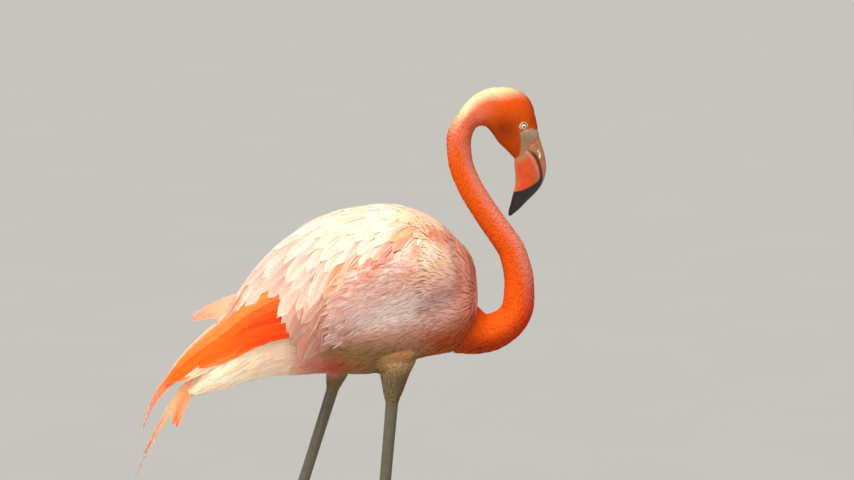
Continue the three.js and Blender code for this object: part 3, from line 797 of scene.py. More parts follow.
def tinted_tube(name, rings, tint, material):
    """A closed piece from rings of points and the colour of each point."""
    points, faces = closed_tube(rings)
    piece = mesh_piece(name, points, faces, material)
    tint = np.broadcast_to(tint, rings.shape).reshape(-1, 3)
    set_tint(piece.data, np.vstack([tint, tint[:1], tint[-1:]]))
    return piece


def bill_sheath(upper):
    """One sheath's rings along the bill and their colours: the outer side is the part of an oval
    above (or below) the mouth line, and the ring returns over the palate (or the trough)."""
    share = np.concatenate([[BILL_UNDER_FACE], np.linspace(0, 0.965, 130), [0.985, 0.996, 1.0]])
    culmen, mouth, keel, half = np.split(bill_lines(share), [2, 4, 6], axis=1)
    arm, middle = (culmen - keel) / 2, (culmen + keel) / 2
    part = np.linalg.norm(culmen - mouth, axis=1) / (2 * np.linalg.norm(arm, axis=1))
    turn = np.arccos(np.clip(1 - 2 * part, -0.98, 0.98))[:, None]
    s, across = np.broadcast_arrays(share[:, None], np.linspace(-1, 1, 49))
    side = np.abs(across)
    gap = MOUTH_GAP * (1 - s) ** 0.3 * np.clip((1 - s) / 0.02, 0, 1)
    if upper:
        angle = across * (turn - gap)
        slot_way = np.abs(angle) - 0.73 * turn
        slot_at = s * BILL_LENGTH - 17 - 22 * slot_way
        nostril = bell(slot_at, 0, 5.2, 4) * bell(slot_way, 0, 0.09)
        ridge = 0.035 * bell(side, 0.80, 0.05)
        tint = layered(
            HORN_BASE,
            (HORN_RED, smooth(s, 0.04, 0.3) * smooth(side, 1.0, 0.3)),
            (HORN_PALE, 0.5 * smooth(side, 0.2, 0.0) * smooth(s, 0.4, 0.1)),
            (HORN_BLACK, smooth(s + 0.26 * side**3, 0.55, 0.62)),
            (HORN_BLACK, 0.8 * smooth(side, 0.84, 0.95) * smooth(s, 0.0, 0.12)),
            # Painted light and shade in the nostril slit: a pale rim where light shines through, and a
            # dark inside.
            (paint(246, 236, 222), smooth(nostril, 0.08, 0.4) * (s < 0.3)),
            (paint(96, 52, 44), smooth(nostril, 0.55, 0.85)),
        )
    else:
        angle = math.pi + across * (math.pi - turn - gap)
        nostril = 0
        ridge = 0.03 * bell(side, 0.84, 0.04) * smooth(s, 0, 0.2)
        tint = layered(
            HORN_BASE,
            (HORN_ORANGE, smooth(s, 0.01, 0.13) * smooth(side, 0.02, 0.38)),
            (CORAL, 0.35 * smooth(side, 0.5, 0.1)),
            (paint(150, 112, 104), 0.4 * bell(side, 0.83, 0.04)),
            (HORN_PALE, 0.4 * bell(side, 0.90, 0.03)),
            (HORN_BLACK, smooth(s + 0.13 * side**4, 0.525, 0.55)),
            (HORN_BLACK, 0.85 * smooth(side, 0.93, 0.985) * smooth(s, 0.0, 0.1)),
        )
    scale = (1 - 0.03 * smooth(s, 0.02, -0.02)) * (1 + ridge - 0.13 * nostril)
    up, y = np.cos(angle) * scale, np.sin(angle) * half * scale
    back = np.linspace(0.92, -0.92, INNER_POINTS)
    up = np.hstack([up, up[:, -1:] + (1 - back**2) * (-0.2 if upper else -0.45)])
    y = np.hstack([y, y[:, -1:] * back])
    rings = in_frame(middle[:, :1] + up * arm[:, :1], y, middle[:, 1:] + up * arm[:, 1:])
    inside = mixed(HORN_BASE, HORN_BLACK, 0.6 + 0.4 * smooth(s[:, :INNER_POINTS], 0.3, 0.5))
    return rings, np.concatenate([tint, inside], 1)


horn_paint, node, surface, _ = node_material("bill_horn")
place = node("TexCoord", "Object")
streaks = node("TexNoise", "Fac", vector=place, scale=120.0, detail=4.0)
shade = node("MixRGB", "Color", blend_type="MULTIPLY", fac=0.5,
             color1=node("Attribute", "Color", attribute_name="tint"),
             color2=toned(node, streaks, (0.72, 0.70, 0.70), (1, 1, 1), 0.35, 0.6))
growth = node("TexNoise", "Fac", vector=place, scale=700.0, detail=2.0)
relief = node("Bump", "Normal", strength=0.3, distance=0.0004, height=growth)
surface(base_color=shade, normal=relief, roughness=0.36, coat_weight=0.08)
for name, upper in (("bill_lid", True), ("bill_trough", False)):
    sheath = tinted_tube(name, *bill_sheath(upper), horn_paint)
    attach(sheath, "root")
    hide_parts("bill_upper" if upper else "bill_lower")

# ---- The eyes ----
# Small glossy balls set level with the cheeks, looking out to the sides: a round black pupil in a
# pale yellow iris of fine spokes, with a dark rim of painted shade where the lids close on it.

IRIS_OUT, IRIS_IN, PUPIL = paint(226, 196, 132), paint(244, 224, 160), paint(10, 8, 8)
IRIS_RING_AND_LID_SHADE = paint(92, 62, 44)
PUPIL_HALF, IRIS_HALF = 1.35, 3.65
CORNEA = 0.22 * MM


def eyeball(way_out):
    """The rings of a ball about the eye's own axis, by angle from it, a little fuller over the
    iris where the cornea stands proud, and their colours: rings about the axis."""
    tilt = np.concatenate([np.linspace(0.004, 0.9, 70), np.linspace(0.93, math.pi - 0.02, 26)])
    turn = around(96)
    way = EYE_WAY * [1, way_out, 1]
    first = unit(np.cross(way, [0, 0, 1.0]))
    round_it = np.cos(turn)[:, None] * first + np.sin(turn)[:, None] * np.cross(way, first)
    tilt = tilt[:, None, None]
    radius = EYE_RADIUS + CORNEA * bell(tilt, 0, 0.55, 4)
    rings = EYE * [1, way_out, 1] + radius * (np.cos(tilt) * way + np.sin(tilt) * round_it)
    r = EYE_RADIUS / MM * np.sin(np.minimum(tilt[..., 0], 1.5)) + 0 * turn
    spokes = 0.5 + 0.25 * np.sin(41 * turn) + 0.25 * np.sin(67 * turn + 1.7)
    return rings, layered(
        IRIS_IN,
        (IRIS_OUT, smooth(r, 1.6, 3.2) * 0.6 + 0.4 * spokes * smooth(r, 1.4, 1.8)),
        # Painted shade at the iris's edge where the lids close on it; the dark ring round the pupil is
        # the iris's own.
        (IRIS_RING_AND_LID_SHADE, smooth(r, IRIS_HALF - 0.35, IRIS_HALF)),
        (IRIS_RING_AND_LID_SHADE, 0.7 * smooth(r, PUPIL_HALF + 0.35, PUPIL_HALF)),
        (PUPIL, smooth(r, PUPIL_HALF + 0.1, PUPIL_HALF - 0.05)),
    )


eye_gloss, node, surface, _ = node_material("eye_gloss")
wet = node("TexNoise", "Fac", vector=node("TexCoord", "Object"), scale=900.0)
surface(base_color=node("Attribute", "Color", attribute_name="tint"), coat_weight=0.6,
        roughness=node("MapRange", "Result", value=wet, to_min=0.05, to_max=0.14), coat_roughness=0.03)
for side, way in SIDES.items():
    ball = tinted_tube(f"eyeball_{side}", *eyeball(way), eye_gloss)
    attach(ball, "root")
    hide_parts(f"eye_{side}")

# ---- The claws ----
# A short blunt horn claw caps each front toe, dark grey and paler at its worn point.

CLAW_LENGTH, CLAW_ROOT = 9, 4  # how far it stands out of the toe, and how far it starts inside
CLAW_DARK, CLAW_WORN = paint(70, 60, 60), paint(128, 112, 104)
claw_horn, node, surface, _ = node_material("claw_horn")
grooves = node("TexNoise", "Fac", vector=node("TexCoord", "Object"), scale=800.0, detail=3.0)
relief = node("Bump", "Normal", strength=0.4, distance=0.0004, height=grooves)
surface(base_color=node("Attribute", "Color", attribute_name="tint"), normal=relief, roughness=0.4)
share, angle = np.meshgrid(np.linspace(0, 1, 14), around(20), indexing="ij")
aside = (3.1 * (1 - share) ** 0.55 + 0.12) * np.sin(angle)
height = 2.5 * (1 - share) ** 0.6 + 0.1
rise = np.maximum(0.02, height * np.cos(angle) + height * (1.0 - 0.55 * share))
for side, way in SIDES.items():
    for toe, (length, turn) in TOES.items():
        along = length - CLAW_ROOT + (CLAW_LENGTH + CLAW_ROOT) * share
        x = TOE_X[side] + along * math.cos(turn) - aside * math.sin(turn)
        y = way * (LEG_SPREAD + along * math.sin(turn) + aside * math.cos(turn))
        claw = tinted_tube(f"claw_{toe}_{side}_horn", in_frame(x, y, rise),
                           mixed(CLAW_DARK, CLAW_WORN, smooth(share, 0.6, 1)), claw_horn)
        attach(claw, "root")
        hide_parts(f"claw_{toe}_{side}")

# ---- Plumage of the head and neck ----
# Thousands of small blunt feathers lie close like velvet, from bill base back and down the neck,
# tiny on the face and longer towards the breast; each overlaps the ones behind it.

LINE_POINTS, ROW_POINTS = 900, 240  # how finely a form is measured along it and round it
ALONG_LUCK, ROUND_LUCK = 0.22, 0.16  # how far a root strays, in row gaps and in feather gaps


def rows_of_roots(form, shares, turns, along, across, seed):
    """Root places in staggered rows: rows stand the along spacing apart on the form's middle line,
    and places in a row stand the across spacing apart round the form, all a little disturbed. A
    spacing is a list of shares and a list of the millimetres there."""
    rng = np.random.default_rng(seed)
    fine = np.linspace(*shares, LINE_POINTS)
    middle = (turns[0] + turns[1]) / 2 if turns[1] < 4 else math.pi / 2
    line = form(fine, np.full(LINE_POINTS, middle))
    gap = np.linalg.norm(np.diff(line, axis=0), axis=1)
    gap = np.maximum(gap, 0.2 * gap.mean())
    step = np.interp((fine[1:] + fine[:-1]) / 2, *along) * MM
    count = np.concatenate([[0], np.cumsum(gap / step)])
    rows = np.interp(np.arange(0.5, count[-1]), count, fine)
    turn = np.linspace(*turns, ROW_POINTS)
    found = []
    for i, share in enumerate(rows):
        gap = np.linalg.norm(np.diff(form(np.full(ROW_POINTS, share), turn), axis=0), axis=1)
        count = np.concatenate([[0], np.cumsum(gap / (np.interp(share, *across) * MM))])
        spots = np.arange(0.25 + 0.5 * (i % 2), count[-1])
        spots = np.clip(spots + rng.normal(0, ROUND_LUCK, len(spots)), 0, count[-1])
        row_gap = abs(rows[min(i + 1, len(rows) - 1)] - rows[max(i - 1, 0)]) / 2
        shift = rng.normal(0, ALONG_LUCK, len(spots)) * row_gap
        found.append(np.stack([share + shift, np.interp(spots, count, turn)], 1))
    found = np.concatenate(found)
    found[:, 0] = np.clip(found[:, 0], *sorted(shares))
    return found


RING_4 = np.array([[-1, 0], [0, 1], [1, 0], [0, -1]], float)


def blunt(s):
    """A body feather's half width along it: quick to widen, round at the end."""
    return np.sqrt(np.clip(s / 0.22, 0, 1)) * np.sqrt(np.clip(1 - s**5, 0, 1))


def lay_vanes(form, roots, lie, length, half, seed, depth, lift=0.3, thick=0.3, uneven=0.25,
              stations=4, ring=RING_4, outline=blunt, vary=0.12, yaw=0.12, curl=0.1, ragged=0.07,
              droop=0.12, drape=lambda points, roots: points):
    """Feathers laid on a form, sizes in millimetres. Each starts at its root and is walked along
    the lie in equal steps that stay on the form; a step is shared between the form's two
    parameters by its own slopes. At each station the vane spreads to both sides by its outline and
    stands off the form by a height that rises from its root, deep in the coat, to its lift at the
    tip. A vane is a lens: a ring of points at each station, and a single point at either end."""
    rng = np.random.default_rng(seed)
    count, m, r = len(roots), len(ring), stations - 2
    s = np.linspace(0, 1, stations)
    half = np.broadcast_to(half, count) * MM
    length = np.broadcast_to(length, count) * MM * rng.uniform(1 - vary, 1 + vary, count)
    yaw, curl = rng.normal(0, yaw, count), rng.normal(0, curl, count)
    raised = rng.uniform(-1, 1, count) * uneven
    share, turn = roots.T.copy()
    out, first = facing(form, share, turn), form(share, turn)
    rings, ends = [], []
    for k in range(stations):
        place = drape(form(share, turn), first)
        by_share, by_turn, normal = slopes_of(form, share, turn)
        normal = normal * out
        way = lie(place, share, turn)
        way = unit(way - normal * (way * normal).sum(-1, keepdims=True))
        bend = (yaw + curl * s[k])[:, None]
        way = way * np.cos(bend) + np.cross(normal, way) * np.sin(bend)
        e, f, g = (by_share**2).sum(-1), (by_share * by_turn).sum(-1), (by_turn**2).sum(-1)
        spread = np.maximum(e * g - f * f, 1e-4 * e * g)

        def shares_of(vector):
            a, b = (by_share * vector).sum(-1), (by_turn * vector).sum(-1)
            return (g * a - f * b) / spread, (e * b - f * a) / spread

        low = (lift * s[k] ** 2 - depth * (1 - s[k]) ** 1.35 + raised * s[k])[:, None] * MM
        if 0 < k < stations - 1:
            uneven_sides = 1 + rng.normal(0, ragged, (2, count))
            widths = half * outline(s[k])
            step_share, step_turn = shares_of(np.cross(normal, way))
            c, up = ring[:, 0][:, None], ring[:, 1][:, None, None]
            reach = c * widths * np.where(c < 0, uneven_sides[0], uneven_sides[1])
            point = drape(form(share + reach * step_share, turn + reach * step_turn), first)
            off = up * thick * MM * (1 - 0.55 * s[k]) - droop * (c**2 * widths)[..., None]
            rings.append(point + normal * (low + off))
        else:
            ends.append(place + normal * low)
        if k == round(0.8 * (stations - 1)):
            seen = place
        tips = np.stack([share, turn], 1)
        go_share, go_turn = shares_of(way)
        step = length * np.diff(s, append=1)[k]
        share = share + np.clip(go_share * step, -0.2, 0.2)
        turn = turn + np.clip(go_turn * step, -0.6, 0.6)
    rings = np.moveaxis(np.array(rings), 2, 0).reshape(count, -1, 3)
    low, high = roots.min(0), roots.max(0)
    j = np.arange(m)
    last = 1 + (r - 1) * m
    start = np.stack([0 * j, 1 + j, 1 + (j + 1) % m], 1)
    close = np.stack([0 * j + 1 + r * m, last + (j + 1) % m, last + j], 1)
    return {
        "points": np.concatenate([ends[0][:, None], rings, ends[1][:, None]], 1),
        "along": np.concatenate([[0], np.repeat(s[1:-1], m), [1]]),
        "across": np.concatenate([[0], np.tile(ring[:, 0], r), [0]]),
        "home": 0.004 + 0.992 * (roots - low) / np.maximum(high - low, 1e-9),
        "length": length, "roots": first, "seen": seen, "tips": tips,
        "faces": [grid_faces(r, m)[:, ::-1] + 1, np.vstack([start, close])],
        "luck": rng.uniform(0, 1, (count, 3)),
    }


def feather_paint(name, sheen, tint_of_sheen, roughness, streak=0.25):
    """Vane material: the feather's own colour, broken into the fine slanting streaks of its barbs
    on both sides of the shaft, with the barbs' relief and a soft sheen."""
    material, node, surface, sums = node_material(name)
    tint = node("Attribute", attribute_name="tint")
    vane = node("SeparateXYZ", vector=node("UVMap", "UV", uv_map="vane"))
    off_shaft = sums("ABSOLUTE", sums("SUBTRACT", vane["X"], 0.5), 0)
    slant = sums("SUBTRACT", sums("MULTIPLY", vane["Y"], 9.0), sums("MULTIPLY", off_shaft, 18.0))
    lines = node("CombineXYZ", "Vector", x=slant, y=sums("MULTIPLY", off_shaft, 1.6), z=tint["Alpha"])
    barbs = node("TexNoise", "Fac", vector=lines, scale=0.8, detail=4.0, roughness=0.62)
    shade = node("MixRGB", "Color", blend_type="MULTIPLY", fac=streak, color1=tint["Color"],
                 color2=toned(node, barbs, (0.66, 0.60, 0.58), (1, 1, 1), 0.3, 0.68))
    shaft = node("MapRange", "Result", value=off_shaft, from_max=0.05, to_min=1.0, to_max=0.0)
    relief = node("Bump", "Normal", strength=0.6, distance=0.0005, height=sums("ADD", barbs, shaft))
    surface(base_color=shade, normal=relief, roughness=roughness, specular_ior_level=0.1,
            sheen_weight=sheen, sheen_roughness=0.45, sheen_tint=(*tint_of_sheen, 1))
    return material


def shaded(vanes, base, tip, edge, luck=0.06, bloom=1.5, rim=1):
    """The colour of every point of laid vanes: the root colour, going over to the tip colour, the
    edge colour along both margins, and each feather a little lighter or darker than the next."""
    along, across = vanes["along"][None, :, None], np.abs(vanes["across"])[None, :, None]
    tint = base[:, None] + (tip[:, None] - base[:, None]) * along**bloom
    tint = tint + (edge[:, None] - tint) * across**rim * along**0.5
    return np.clip(tint * (1 + luck * (vanes["luck"][:, :1] - 0.5) * 2)[:, :, None], 0.003, 1)


VANE_FOLD = math.radians(75)  # a vane's edge is keen, and its two sides are each smooth
LUCK_SHIFT = 40  # how far apart the barbs' patterns of two feathers may lie
PATCH = (0.0014, 0.0028)  # half a patch's width and its whole length on the OFBake map


def coat_piece(name, vanes, colours, material, slot, **shading):
    """One mesh from laid vanes and their colours at root, tip and edge. Its vane map runs across
    and along each feather in centimetres, and its OFBake map gives each feather a small patch
    where its root grows."""
    count, each = vanes["points"].shape[:2]
    shift = np.arange(count)[:, None, None] * each
    faces = [(group[None] + shift).reshape(-1, group.shape[1]) for group in vanes["faces"]]
    piece = mesh_piece(name, vanes["points"].reshape(-1, 3), faces, material)
    piece.data.set_sharp_from_angle(angle=VANE_FOLD)
    luck = np.repeat(vanes["luck"][:, 2:] * LUCK_SHIFT, each, 1)[..., None]
    set_tint(piece.data, np.concatenate([shaded(vanes, *colours, **shading), luck], -1))
    corner = np.empty(len(piece.data.loops), np.int32)
    piece.data.loops.foreach_get("vertex_index", corner)
    across, along = vanes["across"], vanes["along"]
    down = along * vanes["length"][:, None] * 100
    vane = np.stack([0.5 + 0.5 * across + 0 * down, down], -1)
    patch = vanes["home"][:, None] + np.stack([across * PATCH[0], (along - 0.5) * PATCH[1]], -1)
    for label, values in (("vane", vane), ("OFBake", patch)):
        layer = piece.data.uv_layers.new(name=label)
        layer.data.foreach_set("uv", values.reshape(-1, 2)[corner].ravel())
    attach(piece, "root")


def down_the_neck(place, share, turn):
    """The lie of the head and neck: back along the form from the bill towards the body."""
    return -slopes_of(neck_and_head, share, turn)[0]


velvet = feather_paint("velvet_vane", 0.04, (1, 0.5, 0.2), 0.75)
NECK_PLACES = [0, 0.3, 0.62, 0.72, 0.86, 1]
NECK_LENGTHS = [15, 11, 9, 7, 4.6, 3.2]
NECK_GAPS = np.array([4.8, 3.7, 3.1, 2.5, 1.7, 1.3])
for name, shares, depth, seed in (("coat_neck_lower", (0.06, 0.36), 1.5, 11),
                                  ("coat_neck_upper", (0.355, 0.66), 1.5, 12),
                                  ("coat_head", (0.655, 0.985), 0.9, 13)):
    roots = rows_of_roots(neck_and_head, shares, (0, 2 * math.pi), (NECK_PLACES, NECK_GAPS),
                          (NECK_PLACES, 0.86 * NECK_GAPS), seed)
    place = neck_and_head(*roots.T)
    roots = roots[(bare_face(place) < 0.5) | (place[:, 2] < 0.85)]
    size = np.interp(roots[:, 0], NECK_PLACES, NECK_LENGTHS)
    vanes = lay_vanes(neck_and_head, roots, down_the_neck, size, size * 0.24, seed, depth, lift=0.25,
                      thick=0.22, uneven=0.12, yaw=0.10)
    base = colours_by_place(vanes["roots"])
    coat_piece(name, vanes, (base * 0.94, base, mixed(base, PEACH, 0.05)), velvet, "neck_feathers")

# ---- Plumage of the trunk ----
# Soft narrow feathers with loose barbs cover breast, belly and flanks and point back and down. On
# the shoulder they lie over the first wing feathers, and above the legs they hang over the thighs.

EASY = 8  # millimetres over which the curve in front of the shoulder is eased


def lance(s):
    """A long narrow feather's half width along it: widest before the middle, drawn to a point."""
    return np.clip(s / 0.25, 0, 1) ** 0.6 * np.clip(1 - s**2.6, 0, 1) ** 0.75


def back_along_trunk(place, share, turn):
    """The lie of the trunk: back along the form, drooping a little down the sides."""
    way = unit(slopes_of(trunk_form, share, turn)[0])
    return way + np.array([0, 0, -0.22]) * (np.abs(np.sin(turn))[:, None] ** 2)


def wing_edge_height(x):
    """How high the wing's lower edge stands over a place along the bird, in the tables' sizes."""
    rows = np.array(WING_ROWS)
    return np.interp(x, rows[::-1, 2], rows[::-1, 3])


def over_the_thighs(points, roots):
    """Moves feathers that start on the outer side above a thigh outwards, to lie over its top."""
    points = points.copy()
    px, pz = in_tables(points)
    for side, way in SIDES.items():
        rows = np.array(thigh_rows(side))[::-1]
        x, y, along, across = (np.interp(pz, rows[:, 2], rows[:, k]) for k in (0, 1, 3, 4))
        off = np.abs(px - x) / (along + 5)
        reach = np.abs(y) + across * np.sqrt(np.clip(1 - off**2, 0, 1))
        push = np.clip(reach - way * points[..., 1] / MM, 0, None) * smooth(off, 1, 0.75)
        push = push * (pz < rows[-1, 2]) * smooth(way * roots[:, 1] / MM, 16, 34)
        points[..., 1] += way * push * MM
    return points


def over_the_shoulders(points, roots):
    """Moves feathers that start in front of a wing outwards, to lie over its shoulder. How far out
    the wing stands is read from its sections, by the one on which a point lies seen from the side,
    and the hollow in front of the shoulder is filled with an easy curve."""
    top_x, top_z, low_x, low_z, half, parting, turn = wing_lines(np.linspace(0, 0.3, 160)).T
    x, z = (value[..., None] for value in in_tables(points))
    long_x, long_z = low_x - top_x, low_z - top_z
    length = np.hypot(long_x, long_z)
    ahead = ((x - top_x) * -long_z + (z - top_z) * long_x) / length
    nearest = np.abs(ahead).argmin(-1)[..., None]
    ahead = np.take_along_axis(ahead, nearest, -1)[..., 0]
    down = np.take_along_axis(((x - top_x) * long_x + (z - top_z) * long_z) / length**2, nearest, -1)
    half, parting, turn = half[nearest], parting[nearest], np.radians(turn[nearest])
    first = np.arcsin(parting / half)
    angle = np.arccos(np.clip(np.cos(first) - down * (np.cos(first) - np.cos(turn)), -1, 1))
    out = np.abs(points[..., 1]) / MM
    gap = (half * np.sin(angle))[..., 0] - out
    push = (gap + np.sqrt(gap**2 + EASY**2)) / 2 * smooth(down[..., 0], 1.3, 0.95)
    push = push * smooth(ahead, 9, 1) * smooth(in_tables(roots)[0], 92, 102)
    points = points.copy()
    points[..., 1] += np.sign(points[..., 1]) * push * smooth(out, 0, 12) * MM
    return points


soft_vane = feather_paint("soft_vane", 0.1, (1, 0.85, 0.74), 0.75, 0.3)
roots = rows_of_roots(trunk_form, (0.03, 0.68), (0, 2 * math.pi), ([0, 0.15, 0.7], [3.8, 5.2, 6]),
                      ([0, 0.15, 0.7], [2.4, 2.9, 3.3]), 21)
x, z = in_tables(trunk_form(*roots.T))
kept = (z < wing_edge_height(x) + 26) | (x > 98)
roots, x, z = roots[kept], x[kept], z[kept]
size = np.interp(roots[:, 0], [0, 0.14, 0.45, 0.7], [16, 36, 38, 40])
over_wing = smooth(x, 92, 112) * smooth(x, 140, 118) * smooth(z, 650, 690)
vanes = lay_vanes(
    trunk_form, roots, back_along_trunk, size, size * 0.085, 21, 4, lift=0.5 + 1.2 * over_wing,
    thick=0.32, uneven=0.3, stations=5, outline=lance, yaw=0.09, curl=0.16, ragged=0.08,
    drape=lambda points, roots: over_the_thighs(over_the_shoulders(points, roots), roots),
)
base = colours_by_place(vanes["seen"])
x, _, z = vanes["seen"].T / MM
# Painted shade and highlights scattered over the trunk's sides, feather by feather.
sides = smooth(z, 622, 650) * smooth(z, 730, 700) * smooth(x, 170, 130)
base = mixed(base, light_and_shade_mottled(base, vanes["luck"][:, 1]), sides)
coat_piece("coat_trunk", vanes, (base * 0.9, base, mixed(base, PEACH, 0.10)), soft_vane,
           "body_feathers")

# ---- Plumage of back and wings ----
# Over soft small feathers on the shoulders lie long lance-shaped ones, cream above and pink below,
# darkened low on the wing with painted shade, that fall down the folded wing; some are orange. The
# longest, orange, form the wing's end, and soft flank feathers sweep back over the wing's lower edge.


def leaf(s):
    """A broad covert's half width along it: widest past the middle, with a rounded point."""
    return np.clip(s / 0.4, 0, 1) ** 0.7 * np.clip(1 - s**3.4, 0, 1) ** 0.6


def down_the_wing(place, share, turn):
    """The lie of back and wing: straight back along the ridge, and the farther down the wing the
    steeper it falls, except on the wing's long end, where it follows the wing."""
    by_share, by_turn, _ = slopes_of(back_and_wings, share, turn)
    down = unit(by_turn) * np.where(turn < 0, -1, 1)[:, None]
    fall = 0.95 * smooth(np.abs(turn), 0.04, 0.62) * smooth(share, 0.03, 0.14)
    fall = (fall * (1 - 0.85 * smooth(share, 0.52, 0.68)))[:, None]
    return unit(by_share) * np.cos(fall) + down * np.sin(fall)


def along_the_form(form):
    """The lie that runs straight along a form to its end."""
    return lambda place, share, turn: slopes_of(form, share, turn)[0]


def way_left(form, roots, end):
    """How many millimetres it is along a form from each root to a share near the form's end."""
    share = roots[:, 0] + (end - roots[:, 0]) * np.linspace(0, 1, 25)[:, None]
    line = form(share, np.broadcast_to(roots[:, 1], share.shape))
    return np.linalg.norm(np.diff(line, axis=0), axis=-1).sum(0) / MM


def wing_tint(points, luck):
    """The colours of the wing's pale feathers: cream at the top and shoulder, whiter still on the upper
    back as a painted highlight, pink lower down and darkened towards the lower edge as painted shade,
    with orange and peach marks and a painted highlight below the shoulder, each feather leaning its
    own way between cream, pink and coral, with fewer cream ones where the painted shade lies."""
    x, z = in_tables(points)
    level = z + 0.1 * x
    # Where the painted shade lies, towards the wing's lower edge.
    lower = smooth(level, 676, 636)
    tint = layered(
        CREAM,
        (PINK, smooth(z + 0.3 * x, 790, 700)),
        # Painted highlight: the top of the back near white, where the overhead light falls.
        (paint(255, 252, 242), 0.7 * smooth(x, 60, 0) * smooth(z, 705, 755)),
        # Painted shade: blush and pinkish brown darken the wing towards its lower edge.
        (LOW_SHADE_BLUSH, 0.9 * smooth(level, 688, 626)),
        (paint(164, 100, 82), 0.8 * smooth(level, 656, 616)),
        # Painted highlight below the wing's shoulder.
        (PALE_EDGE_AND_HIGHLIGHT, 0.95 * flank_highlight(x, z)),
        (PINK, 0.4 * smooth(x, -50, -110) * smooth(z, 770, 730)),
    )
    return layered(
        streaked(tint, x, z),
        # More painted shade low on the wing, with fewer cream feathers there.
        (paint(140, 84, 70), 0.5 * lower),
        (CREAM, 0.55 * smooth(luck[:, 1], 0.6, 1) * (1 - 0.8 * lower)),
        (CORAL, 0.3 * smooth(luck[:, 1], 0.28, 0) * smooth(z, 795, 760)),
    )


def tertial_tint(points, level, luck):
    """The long feathers' colours: orange, deep orange where the pale ones end over them, and going
    over to pinkish peach at the upper edge."""
    x, z = in_tables(points)
    return layered(
        ORANGE,
        (paint(248, 110, 10), 0.6 * luck),
        (paint(255, 168, 104), 0.75 * smooth(z - wing_edge_height(x), 20, 50)),
        (paint(238, 44, 2), 0.95 * bell(x, -128, 40) * bell(z, 615, 30)),
        (PALE_PEACH, 0.9 * smooth(level, 0.30, 0.08)),
    )


RING_6 = np.array([[-1, 0], [-0.52, 0.8], [0, 1.15], [0.52, 0.8], [1, 0], [0, -0.9]], float)
RING_8 = np.array([[-1, 0], [-0.66, 0.62], [-0.3, 0.92], [0, 1.2], [0.3, 0.92], [0.66, 0.62],
                   [1, 0], [0, -0.9]], float)
vane_cloth = feather_paint("wing_vane", 0.05, (1, 0.9, 0.82), 0.62, 0.34)

roots = rows_of_roots(back_and_wings, (0.05, 0.62), (-0.24, 0.24),
                      ([0, 0.1, 0.3, 0.6], [6, 9, 16, 22]), ([0, 0.1, 0.3, 0.6], [5, 6, 7.5, 7]), 30)
size = np.interp(roots[:, 0], [0, 0.08, 0.2, 0.4, 0.6], [20, 34, 64, 96, 104])
vanes = lay_vanes(
    back_and_wings, roots, down_the_wing, size, np.interp(size, [20, 104], [4.4, 9.4]), 30, 4,
    lift=-0.8, thick=0.4, uneven=0.5, stations=10, ring=RING_6, outline=leaf, yaw=0.05, curl=0.06,
    droop=0.14,
)
base = wing_tint(vanes["seen"], vanes["luck"])
coat_piece("coat_back", vanes, (mixed(base, PEACH, 0.4), base, mixed(base, CREAM, 0.3)), vane_cloth,
           "wing_feathers", bloom=3)

# How far back the pale feathers' tips may reach, by how far down the wing they lie.
PALE_LEVELS, PALE_ENDS = [0, 0.2, 0.5, 0.62, 0.8, 1.05], [0.74, 0.69, 0.59, 0.545, 0.51, 0.465]
LOWEST_TIP = 1.07  # and how far down round the wing they may hang
SHORTEST_PART = 0.42  # a feather that would be cut shorter than this is left out
TERTIALS, QUILLS = 44, 9
QUILL_BLACK, TERTIAL_TOP, TERTIAL_LOW = paint(38, 30, 30), paint(255, 150, 78), paint(236, 54, 2)
PALE_SHAPE = dict(depth=4.5, lift=0.2, thick=0.42, uneven=0.6, stations=12, ring=RING_8,
                  outline=leaf, yaw=0.07, curl=0.12, ragged=0.08, droop=0.14, vary=0.0)
along_the_wing = along_the_form(back_and_wings)

